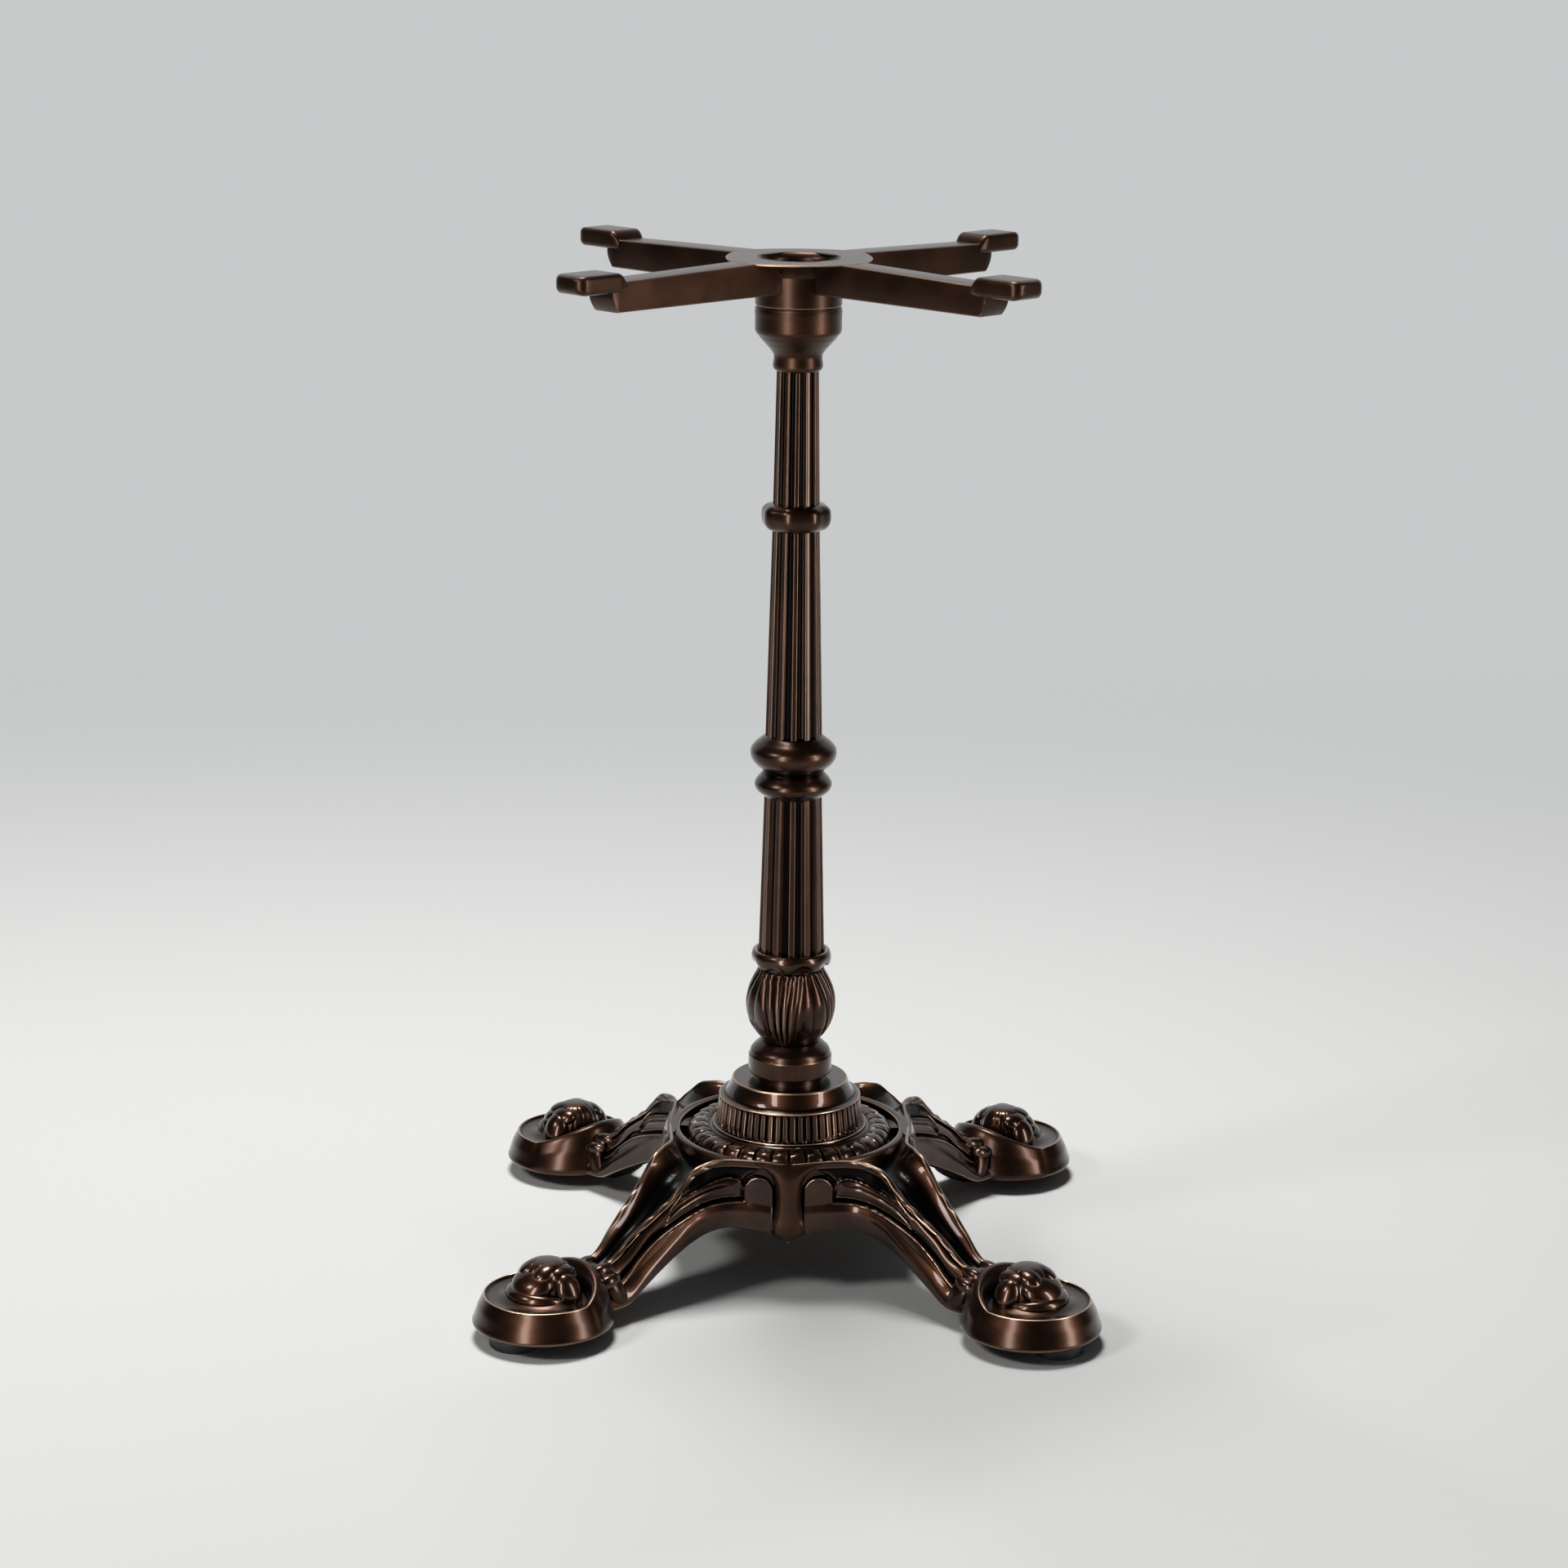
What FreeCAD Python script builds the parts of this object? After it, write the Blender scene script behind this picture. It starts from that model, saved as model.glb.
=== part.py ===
# Ornamental cast table base: four arched legs on levelling glides, a stepped collar, a fluted column
# and a four-armed spider for the table top. Millimetres, +Z up, origin on the floor under the column.
# Legs and arms lie on the diagonals of the X and Y axes.
import FreeCAD, Part
import math
import os
from itertools import accumulate

Vector = FreeCAD.Vector
UP = Vector(0, 0, 1)
ORIGIN = Vector(0, 0, 0)
QUARTERS = {"front_right": -45, "back_right": 45, "back_left": 135, "front_left": -135}

# Levelling glides: a plastic pad on a threaded stud, with a lock nut under the foot
GLIDE_REACH = 259.5
GLIDE_R = 18.2
GLIDE_HEIGHT = 9.3
GLIDE_EDGE = 1.2
STUD_R = 4.0
STUD_LENGTH = 20.0
STUD_IN_PAD = 6.0
LOCK_NUT_FLATS = 13.0
LOCK_NUT_HEIGHT = 5.0
THREAD_CLEARANCE = 0.08
SEAT_CLEARANCE = 0.4

# Feet: a flat bun with a sloping side, a raised rim and a carved bud standing in the dish
FOOT_REACH = 234.8
FOOT_R = 48.6
FOOT_RIM_R = 40.5
FOOT_LIFT = 9.8
FOOT_SIDE_HEIGHT = 21.6
FOOT_LIP_ROUND = 2.7
FOOT_RIM_WIDTH = 2.4
FOOT_DISH_DEPTH = 4.6
FOOT_RECESS_R = 40.0
BUD_R = 23.0
BUD_HEIGHT = 27.0
PETAL_R = 10.5
PETAL_COUNT = 5
NECK_BALL_R = 5.5

# Legs: an open channel between two ridges, hollow below, arching from the apron to the foot
APRON_REACH = 87.5
APRON_BOTTOM = 40.5
LEG_FOOT_OVERLAP = 8.6
LEG_WALL = 6.0
NECK_BOTTOM = 12.6
NECK_TOP = 34.0
RIDGE_WIDTH = 3.2
PANEL_DEPTH = 2.2
BAND_HEIGHT = 13.0
CAVITY_END = 0.78
CUFF_START = 56.5
CUFF_LENGTH = 11.0
CUFF_PROUD = 1.6

# Middle of the base: a round well for the collar, with a boss for the tie rod below its floor
RIM_TOP = 95.7
RIM_R = 84.0
WELL_R = 78.5
WELL_FLOOR = 84.0
WELL_FLOOR_THICKNESS = 8.0
BOSS_R = 22.0
BOSS_DEPTH = 8.0
KEYSTONE_R = 9.0
KEYSTONE_FLARE = 6.0
TONGUE_HALF_WIDTH = 10.5
TONGUE_HEIGHT = 19.0
TONGUE_SPREAD = 21.5
TONGUE_PROUD = 3.0

# Collar: a stepped ring casting with a reeded band and a blocked bead, seated in the well
COLLAR_TOP_R = 40.8
COLLAR_DRUM_R = 46.5
COLLAR_DRUM_HEIGHT = 12.5
REED_BAND_TOP_R = 50.0
REED_BAND_FOOT_R = 52.6
REED_BAND_HEIGHT = 20.5
REED_COUNT = 60
REED_DEPTH = 1.3
FILLET_RING_R = 56.5
FILLET_RING_STEP = 2.6
BEAD_RING_R = 73.3
BEAD_RING_HEIGHT = 12.6
BLOCK_COUNT = 36
BLOCK_GROOVE = 1.6
COLLAR_WALL = 6.0

# Column: one casting, listed from its foot upwards
COLUMN_CORE_R = 13.5
ROD_BORE_R = 8.0
COLUMN_SEAT_R = 25.0
COLUMN_SEAT_HEIGHT = 4.5
FOOT_DRUM_R = 29.7
FOOT_DRUM_HEIGHT = 13.4
CUSHION_HEIGHT = 11.0
BULB_NECK_R = 20.7
BULB_R = 31.6
BULB_HEIGHT = 53.0
BULB_LOBES = 16
BULB_LOBE_DEPTH = 0.9
SCALLOP_R = 27.2
SCALLOP_HEIGHT = 15.0
SCALLOP_LOBES = 8
SCALLOP_DEPTH = 0.9
LOWER_SHAFT = 110.0
LOWER_SHAFT_R = (23.0, 20.2)
LOWER_BEAD_R = 27.1
LOWER_BEAD_HEIGHT = 18.0
UPPER_BEAD_R = 30.2
UPPER_BEAD_HEIGHT = 25.0
MIDDLE_SHAFT = 147.0
MIDDLE_SHAFT_R = (19.8, 16.3)
RING_R = 23.8
RING_HEIGHT = 18.0
UPPER_SHAFT = 92.9
UPPER_SHAFT_R = (16.1, 14.4)
CAPITAL_NECK_R = 17.0
CAPITAL_NECK_HEIGHT = 11.0
BELL_HEIGHT = 16.5
CAPITAL_DRUM_HEIGHT = 15.5
SHAFT_LAP = 1.5
FLUTE_COUNT = 12
FLUTE_DEPTH = 0.14
FLUTE_SHAPE = ((0.00, 0.0), (0.12, 0.02), (0.22, 0.12), (0.30, 0.45), (0.40, 0.85), (0.50, 1.0), (0.60, 0.85),
               (0.70, 0.45), (0.78, 0.12), (0.88, 0.02))
SPIGOT_R = 18.0
SPIGOT_HEIGHT = 4.0
SPIGOT_CLEARANCE = 0.1

# Spider: a hub with a flared web disc, four arms and four pads for the table top
HUB_HEIGHT = 31.0
HUB_BORE_R = 25.5
HUB_MOUTH_ROUND = 3.2
HUB_FLOOR_THICKNESS = 8.0
HUB_SEAM_DEPTH = 0.9
WEB_R = 50.0
WEB_EDGE = 1.2
WEB_FLARE = 14.0
ARM_END = 181.0
ARM_WIDTH = 23.0
ARM_DEPTH = 20.0
ARM_END_TAPER = 5.0
PAD_REACH = 190.0
PAD_LENGTH = 42.0
PAD_WIDTH = 28.0
PAD_THICKNESS = 12.8
PAD_RISE = 6.0
PAD_CORNER_R = 7.0
PAD_EDGE_R = 3.0
PAD_HOLE_R = 3.25
PAD_HOLE_REACH = 198.0

# Tie rod with a nut and a washer at each end
ROD_R = 6.0
ROD_HOLE_CLEARANCE = 0.5
NUT_FLATS = 19.0
NUT_HEIGHT = 10.0
WASHER_R = 13.0
WASHER_THICKNESS = 2.5
ROD_END = 2.5

# Levels worked out from the sizes above
LOCK_NUT_BOTTOM = GLIDE_HEIGHT + SEAT_CLEARANCE
FOOT_CEILING = LOCK_NUT_BOTTOM + LOCK_NUT_HEIGHT
STUD_BOTTOM = GLIDE_HEIGHT - STUD_IN_PAD
STUD_TOP = STUD_BOTTOM + STUD_LENGTH
FOOT_RIM_Z = FOOT_LIFT + FOOT_SIDE_HEIGHT
FOOT_DISH_Z = FOOT_RIM_Z - FOOT_DISH_DEPTH
BEAD_TOP = WELL_FLOOR + BEAD_RING_HEIGHT
REED_BOTTOM = BEAD_TOP + FILLET_RING_STEP
REED_TOP = REED_BOTTOM + REED_BAND_HEIGHT
COLLAR_TOP = REED_TOP + COLLAR_DRUM_HEIGHT
BOSS_BOTTOM = WELL_FLOOR - WELL_FLOOR_THICKNESS - BOSS_DEPTH
ROD_HOLE_R = ROD_R + ROD_HOLE_CLEARANCE


def levels(start, *heights):
    """Heights stacked on each other from a starting level."""
    return list(accumulate(heights, initial=start))


def point(r, z):
    return Vector(r, 0, z)


def line(*corners):
    """Straight edges through a list of (radius, height) corners."""
    return [Part.makeLine(point(*a), point(*b)) for a, b in zip(corners, corners[1:])]


def arc(start, middle, end):
    return [Part.Arc(point(*start), point(*middle), point(*end)).toShape()]


def turned(edges):
    """Solid of revolution about Z from a closed half outline."""
    return Part.Face(Part.Wire(edges)).revolve(ORIGIN, UP, 360)


def cylinder(radius, bottom, top, x=0.0, y=0.0):
    return Part.makeCylinder(radius, top - bottom, Vector(x, y, bottom), UP)


def hexagon(flats, bottom, height, hole_r, x=0.0, y=0.0):
    """Hexagonal nut with a plain hole, standing on a level."""
    corner = flats / math.sqrt(3)
    turns = [math.radians(60 * i) for i in range(7)]
    ring = [Vector(x + corner * math.cos(a), y + corner * math.sin(a), bottom) for a in turns]
    solid = Part.Face(Part.makePolygon(ring)).extrude(Vector(0, 0, height))
    crown = cylinder(flats / 2 * 1.08, bottom, bottom + height, x, y)
    return solid.common(crown).cut(cylinder(hole_r, bottom, bottom + height, x, y))


def around(shape, angle):
    """Copy of a shape turned about the column axis."""
    copy = shape.copy()
    copy.rotate(ORIGIN, UP, angle)
    return copy


def ring_of(shape, count):
    return [around(shape, 360.0 * i / count) for i in range(count)]


def lobed_section(radius, depth, lobes, z, steps=6):
    """Closed outline of short chords whose radius swells and shrinks once for each lobe."""
    corners = []
    for i in range(lobes * steps):
        a = 2 * math.pi * i / (lobes * steps)
        r = radius + depth * math.cos(lobes * a)
        corners.append(Vector(r * math.cos(a), r * math.sin(a), z))
    return Part.makePolygon(corners + corners[:1])


def fluted_section(radius, z):
    """Outline of a round shaft with a hollow flute between each pair of ribs."""
    pitch = 2 * math.pi / FLUTE_COUNT
    corners = []
    for i in range(FLUTE_COUNT):
        for share, depth in FLUTE_SHAPE:
            a = pitch * (i + share)
            r = radius * (1 - FLUTE_DEPTH * depth)
            corners.append(Vector(r * math.cos(a), r * math.sin(a), z))
    return Part.makePolygon(corners + corners[:1])


def ball(radii, centre, corners=20, rows=9):
    """Ellipsoid with three half widths, as rings of flat facets."""
    rings = []
    for row in range(rows):
        lean = math.pi * (row + 0.35) / (rows - 0.3) - math.pi / 2
        turns = [2 * math.pi * i / corners for i in range(corners + 1)]
        swell = math.cos(lean)
        ring = [Vector(radii[0] * swell * math.cos(a), radii[1] * swell * math.sin(a), radii[2] * math.sin(lean))
                for a in turns]
        rings.append(Part.makePolygon(ring))
    solid = Part.makeLoft(rings, True, True)
    solid.translate(centre)
    return solid


# Column
def fluted_shaft(bottom, top, radii):
    """Tapered shaft with round-bottomed flutes, lapping into the mouldings above and below it."""
    low, high = radii
    return Part.makeLoft([fluted_section(low, bottom - SHAFT_LAP), fluted_section(high, top + SHAFT_LAP)], True, True)


def bead(neck_r, crown_r, bottom, top):
    """Rounded ring that swells from a shaft, starting at the floor of its flutes."""
    start = neck_r * (1 - FLUTE_DEPTH) - 0.5
    return turned(arc((start, bottom), (crown_r, (bottom + top) / 2), (start, top))
                  + line((start, top), (0, top), (0, bottom), (start, bottom)))


def bulb(bottom):
    """Leafy bulb: lobed sections lofted from the lower neck to the scalloped collar."""
    shares = ((-0.02, -0.06, 0.0), (0.08, 0.30, 0.4), (0.18, 0.63, 0.9), (0.30, 0.88, 1.0), (0.42, 0.99, 1.0),
              (0.54, 1.00, 1.0), (0.66, 0.90, 1.0), (0.78, 0.69, 0.9), (0.90, 0.42, 0.6), (1.03, 0.10, 0.0))
    sections = []
    for height, swell, lobe in shares:
        radius = BULB_NECK_R + swell * (BULB_R - BULB_LOBE_DEPTH - BULB_NECK_R)
        z = bottom + height * BULB_HEIGHT
        sections.append(lobed_section(radius, lobe * BULB_LOBE_DEPTH, BULB_LOBES, z))
    return Part.makeLoft(sections, True, True)


def scalloped_collar(bottom):
    """Turned-over leaf collar whose edge waves once for each leaf."""
    neck = LOWER_SHAFT_R[0]
    shares = ((0.0, 0.0, 0.0), (0.15, 0.15, 0.4), (0.32, 0.68, 0.9), (0.47, 0.96, 1.0), (0.62, 1.0, 1.0),
              (0.78, 0.74, 0.8), (1.0, -0.1, 0.0))
    sections = []
    for height, swell, lobe in shares:
        radius = neck + swell * (SCALLOP_R - SCALLOP_DEPTH - neck)
        z = bottom + height * SCALLOP_HEIGHT
        sections.append(lobed_section(radius, lobe * SCALLOP_DEPTH, SCALLOP_LOBES, z))
    return Part.makeLoft(sections, True, True)


def column_levels():
    return levels(COLLAR_TOP, COLUMN_SEAT_HEIGHT, FOOT_DRUM_HEIGHT, CUSHION_HEIGHT, BULB_HEIGHT,
                  SCALLOP_HEIGHT, LOWER_SHAFT, LOWER_BEAD_HEIGHT, UPPER_BEAD_HEIGHT, MIDDLE_SHAFT,
                  RING_HEIGHT, UPPER_SHAFT, CAPITAL_NECK_HEIGHT, BELL_HEIGHT, CAPITAL_DRUM_HEIGHT)


def column_foot(seat, drum, cushion, neck):
    """Seat, drum and quarter-round cushion under the bulb."""
    reach = FOOT_DRUM_R - BULB_NECK_R
    middle = (BULB_NECK_R + reach * 0.74, cushion + CUSHION_HEIGHT * 0.66)
    side = line((0, seat), (COLUMN_SEAT_R, seat), (COLUMN_SEAT_R, drum), (FOOT_DRUM_R, drum),
                (FOOT_DRUM_R, cushion))
    return turned(side + arc((FOOT_DRUM_R, cushion), middle, (BULB_NECK_R, neck))
                  + line((BULB_NECK_R, neck), (0, neck), (0, seat)))


def capital(neck, bell, drum, top):
    """Moulded neck, bell and drum under the spider, with a spigot that centres it."""
    start = CAPITAL_NECK_R - 1.5
    side = arc((start, neck), (CAPITAL_NECK_R + 0.8, (neck + bell) / 2), (start, bell))
    flare = arc((start, bell), (FOOT_DRUM_R - 6.4, bell + BELL_HEIGHT * 0.50), (FOOT_DRUM_R, drum))
    cap = line((FOOT_DRUM_R, drum), (FOOT_DRUM_R, top), (SPIGOT_R, top), (SPIGOT_R, top + SPIGOT_HEIGHT),
               (0, top + SPIGOT_HEIGHT), (0, neck), (start, neck))
    return turned(side + flare + cap)


def column():
    z = column_levels()
    pieces = [
        column_foot(z[0], z[1], z[2], z[3]),
        bulb(z[3]),
        scalloped_collar(z[4]),
        fluted_shaft(z[5], z[6], LOWER_SHAFT_R),
        bead(LOWER_SHAFT_R[1], LOWER_BEAD_R, z[6], z[7]),
        bead(LOWER_SHAFT_R[1], UPPER_BEAD_R, z[7], z[8]),
        fluted_shaft(z[8], z[9], MIDDLE_SHAFT_R),
        bead(MIDDLE_SHAFT_R[1], RING_R, z[9], z[10]),
        fluted_shaft(z[10], z[11], UPPER_SHAFT_R),
        capital(z[11], z[12], z[13], z[14]),
    ]
    solid = pieces[0].fuse(pieces[1:])
    core = Part.makeCone(COLUMN_CORE_R, ROD_BORE_R, z[14] + SPIGOT_HEIGHT - z[0], Vector(0, 0, z[0]), UP)
    return solid.cut(core)


# Collar
def reeded_section(radius, z):
    """Outline of the band: flat-topped reeds with a narrow valley between each pair."""
    pitch = 2 * math.pi / REED_COUNT
    corners = []
    for i in range(REED_COUNT):
        for share, depth in ((0.0, 0.0), (0.5, 0.1), (0.75, 1.0)):
            a = pitch * (i + share)
            r = radius - REED_DEPTH * depth
            corners.append(Vector(r * math.cos(a), r * math.sin(a), z))
    return Part.makePolygon(corners + corners[:1])


def collar():
    """Stepped ring with reeds cut in its band and blocks cut in its outer bead."""
    lip = (REED_BAND_TOP_R, REED_TOP)
    drum = arc((COLLAR_TOP_R, COLLAR_TOP), (COLLAR_TOP_R + 1.6, COLLAR_TOP - COLLAR_DRUM_HEIGHT * 0.45),
               (COLLAR_DRUM_R, REED_TOP + 1.6))
    step = line((COLLAR_DRUM_R, REED_TOP + 1.6), (REED_BAND_TOP_R, REED_TOP + 0.8), lip,
                (REED_BAND_TOP_R - REED_DEPTH - 1, REED_TOP), (REED_BAND_TOP_R - REED_DEPTH - 1, REED_BOTTOM),
                (FILLET_RING_R, REED_BOTTOM), (FILLET_RING_R, BEAD_TOP))
    shoulder = BEAD_TOP - BEAD_RING_HEIGHT * 0.42
    crown = (BEAD_RING_R - (BEAD_RING_R - FILLET_RING_R) * 0.28, BEAD_TOP - BEAD_RING_HEIGHT * 0.10)
    ring = arc((FILLET_RING_R, BEAD_TOP), crown, (BEAD_RING_R, shoulder))
    base = line((BEAD_RING_R, shoulder), (BEAD_RING_R, WELL_FLOOR), (ROD_HOLE_R, WELL_FLOOR),
                (ROD_HOLE_R, COLLAR_TOP), (COLLAR_TOP_R, COLLAR_TOP))
    solid = turned(drum + step + ring + base)
    reeds = Part.makeLoft([reeded_section(REED_BAND_FOOT_R, REED_BOTTOM - 1), reeded_section(REED_BAND_TOP_R, REED_TOP)],
                          True, True)
    slot = Part.makeBox(BEAD_RING_R, BLOCK_GROOVE, BEAD_RING_HEIGHT,
                        Vector(FILLET_RING_R + 3.0, -BLOCK_GROOVE / 2, shoulder))
    floor = turned(line((0, shoulder - 1), (BEAD_RING_R - 2.0, shoulder - 1), (BEAD_RING_R - 2.0, shoulder),
                        (FILLET_RING_R + 3.0, BEAD_TOP - 1.4), (0, BEAD_TOP - 1.4), (0, shoulder - 1)))
    slots = [cut.cut(floor) for cut in ring_of(slot, BLOCK_COUNT)]
    return solid.fuse(reeds).cut(slots + [collar_hollow()])


def collar_hollow():
    """Cored space below the stepped top, open towards the well floor."""
    ceiling = COLLAR_TOP - COLLAR_WALL
    step = BEAD_TOP - COLLAR_WALL
    rim = BEAD_RING_R - COLLAR_WALL
    inner = REED_BAND_FOOT_R - COLLAR_WALL
    return turned(line((0, WELL_FLOOR), (rim, WELL_FLOOR), (rim, step - 2.0), (inner, step),
                       (COLLAR_TOP_R - COLLAR_WALL, ceiling), (0, ceiling), (0, WELL_FLOOR)))


# Legs, worked out with the leg along +X and turned to its quarter afterwards
# Each station: place along the leg, half width at the bottom edge, half width at the ridge,
# bottom height and ridge height (0 at the neck, 1 at the apron), depth of the valley
LEG_STATIONS = (
    (0.00, 62.0, 61.0, 1.00, 1.00, 12.0),
    (0.10, 45.5, 44.5, 1.21, 1.03, 13.0),
    (0.21, 30.5, 29.8, 1.29, 1.04, 14.0),
    (0.31, 24.2, 24.5, 1.20, 1.05, 15.0),
    (0.41, 22.0, 21.8, 1.06, 0.95, 15.0),
    (0.51, 21.5, 19.4, 0.86, 0.72, 13.0),
    (0.62, 21.5, 16.5, 0.60, 0.545, 12.0),
    (0.74, 22.0, 13.5, 0.33, 0.40, 10.0),
    (0.86, 22.6, 10.8, 0.06, 0.20, 7.0),
    (1.00, 22.6, 9.6, 0.00, 0.00, 3.5),
)


def leg_frame(station):
    """Real place, widths and heights of one station of the leg."""
    along, half_bottom, half_ridge, low, high, depth = station
    start = APRON_REACH / math.sqrt(2)
    end = FOOT_REACH - FOOT_R + LEG_FOOT_OVERLAP
    spread = start / LEG_STATIONS[0][1]
    x = start + along * (end - start)
    bottom = NECK_BOTTOM + low * (APRON_BOTTOM - NECK_BOTTOM)
    ridge = NECK_TOP + high * (RIM_TOP - NECK_TOP)
    return x, half_bottom * spread, half_ridge * spread, bottom, ridge, depth


def section(x, half):
    """Closed section across the leg from its right half, listed from the bottom up."""
    left = [(-y, z) for y, z in reversed(half) if y > 0]
    corners = [Vector(x, y, z) for y, z in half + left]
    return Part.makePolygon(corners + corners[:1])


def leg_outside(station):
    x, wide, ridge_half, bottom, ridge, depth = leg_frame(station)
    band = bottom + min(BAND_HEIGHT, (ridge - bottom) * 0.40)
    lip = ridge - (ridge - band) * 0.22
    slope = (wide - ridge_half) / (ridge - bottom)
    outer = [(wide, bottom), (wide - slope * (band - bottom), band)]
    panel = [(outer[1][0] - PANEL_DEPTH, band + 1.5), (ridge_half + slope * 2 - PANEL_DEPTH, lip - 1.5)]
    crest = [(ridge_half + slope * 2, lip), (ridge_half, ridge - 0.8), (ridge_half - RIDGE_WIDTH, ridge)]
    inner = ridge_half - RIDGE_WIDTH
    valley = [(inner * 0.72, ridge - depth * 0.52), (inner * 0.40, ridge - depth * 0.87), (0, ridge - depth)]
    return section(x, outer + panel + crest + valley)


def leg_inside(station):
    x, wide, ridge_half, bottom, ridge, depth = leg_frame(station)
    ceiling = ridge - depth - LEG_WALL
    top_half = max(ridge_half - LEG_WALL, 2.0)
    return section(x, [(wide - LEG_WALL, bottom - LEG_WALL), (wide - LEG_WALL, bottom + 1.0),
                       (top_half, ceiling), (0, ceiling)])


def between(stations, along):
    """Station at a place along the leg, on a smooth curve through its neighbours."""
    i = max(1, min(len(stations) - 3, sum(s[0] <= along for s in stations) - 1))
    near = stations[i - 1:i + 3]
    weights = []
    for a in near:
        weight = 1.0
        for b in near:
            if b is not a:
                weight *= (along - b[0]) / (a[0] - b[0])
        weights.append(weight)
    return tuple(sum(w * s[k] for w, s in zip(weights, near)) for k in range(len(near[0])))


def leg_row(end, count, outline):
    return [outline(between(LEG_STATIONS, end * i / (count - 1))) for i in range(count)]


def leg():
    return Part.makeLoft(leg_row(1.0, 20, leg_outside), True, True)


def leg_cavity():
    return Part.makeLoft(leg_row(CAVITY_END, 11, leg_inside), True, True)


def cuff():
    """Rounded band round the neck, where the leg enters the foot."""
    middle = (NECK_TOP + NECK_BOTTOM) / 2
    wide = LEG_STATIONS[-1][1] + CUFF_PROUD
    narrow = LEG_STATIONS[-1][2] + CUFF_PROUD
    x = FOOT_REACH - CUFF_START
    half = [(wide, NECK_BOTTOM - CUFF_PROUD / 2), (wide, middle - 6.0), (narrow + 3.0, NECK_TOP + 2.0),
            (narrow - 2.0, NECK_TOP + 5.0)]
    band = Part.Face(section(x, half)).extrude(Vector(CUFF_LENGTH, 0, 0))
    ends = [e for e in band.Edges if abs(e.BoundBox.XMax - e.BoundBox.XMin) < 0.01]
    return band.makeFillet(CUFF_PROUD, ends)


# Feet, also worked out on +X
def bun():
    """Turned foot: rounded lip, sloping side, rim and dish."""
    lip_top = FOOT_LIFT + FOOT_LIP_ROUND
    inner = FOOT_RIM_R - FOOT_RIM_WIDTH
    crest = (FOOT_RIM_R - FOOT_RIM_WIDTH / 2, FOOT_RIM_Z + 0.8)
    side = arc((FOOT_R - FOOT_LIP_ROUND, FOOT_LIFT), (FOOT_R - 0.8, FOOT_LIFT + 0.8), (FOOT_R, lip_top))
    side += line((FOOT_R, lip_top), (FOOT_RIM_R, FOOT_RIM_Z))
    side += arc((FOOT_RIM_R, FOOT_RIM_Z), crest, (inner, FOOT_RIM_Z))
    side += arc((inner, FOOT_RIM_Z), (inner - 3.0, FOOT_DISH_Z + 0.9), (inner - 9.0, FOOT_DISH_Z))
    side += line((inner - 9.0, FOOT_DISH_Z), (0, FOOT_DISH_Z), (0, FOOT_CEILING),
                 (FOOT_RECESS_R, FOOT_CEILING), (FOOT_RECESS_R, FOOT_LIFT), (FOOT_R - FOOT_LIP_ROUND, FOOT_LIFT))
    return turned(side)


def bud():
    """Closed bud of folded petals with a small ball next to the neck."""
    middle = FOOT_DISH_Z + BUD_HEIGHT * 0.18
    solids = [ball((BUD_R, BUD_R * 0.86, BUD_HEIGHT * 0.82), Vector(0, 0, middle))]
    for i in range(PETAL_COUNT):
        turn = math.radians(180 + 360.0 * (i + 0.5) / PETAL_COUNT)
        place = Vector(BUD_R * 0.62 * math.cos(turn), BUD_R * 0.62 * math.sin(turn), middle + BUD_HEIGHT * 0.24)
        petal = ball((PETAL_R, PETAL_R * 0.72, PETAL_R * 1.15), ORIGIN)
        petal.rotate(ORIGIN, UP, math.degrees(turn))
        petal.translate(place)
        solids.append(petal)
    solids.append(Part.makeSphere(NECK_BALL_R, Vector(-BUD_R - NECK_BALL_R / 2, 0, FOOT_RIM_Z)))
    lump = solids[0].fuse(solids[1:])
    return lump.cut(cylinder(FOOT_R, -FOOT_R, FOOT_DISH_Z - 2.0))


def foot():
    solid = bun().fuse([bud()])
    solid.translate(Vector(FOOT_REACH, 0, 0))
    hole = cylinder(STUD_R + THREAD_CLEARANCE, FOOT_CEILING - 1, STUD_TOP + SEAT_CLEARANCE, GLIDE_REACH)
    return solid.cut(hole)


# Middle of the base
def keystone():
    """Waisted rib at the middle of the apron between two legs."""
    bottom = APRON_BOTTOM
    top = RIM_TOP
    wide = KEYSTONE_R + KEYSTONE_FLARE
    side = arc((wide - 2.0, top), (KEYSTONE_R, top - (top - bottom) * 0.45), (KEYSTONE_R + 1.0, bottom + 5.0))
    shape = turned(side + line((KEYSTONE_R + 1.0, bottom + 5.0), (2.0, bottom - 1.0), (0, bottom - 1.0), (0, top),
                               (wide - 2.0, top)))
    shape.translate(Vector(APRON_REACH - KEYSTONE_R, 0, 0))
    return shape


def tongues():
    """Two rounded lobes that flank the keystone."""
    z = (APRON_BOTTOM + RIM_TOP) / 2 - 1.0
    radii = (TONGUE_PROUD + 3.0, TONGUE_HALF_WIDTH, TONGUE_HEIGHT)
    return [ball(radii, Vector(APRON_REACH - 5.5, side * TONGUE_SPREAD, z)) for side in (-1, 1)]


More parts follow.
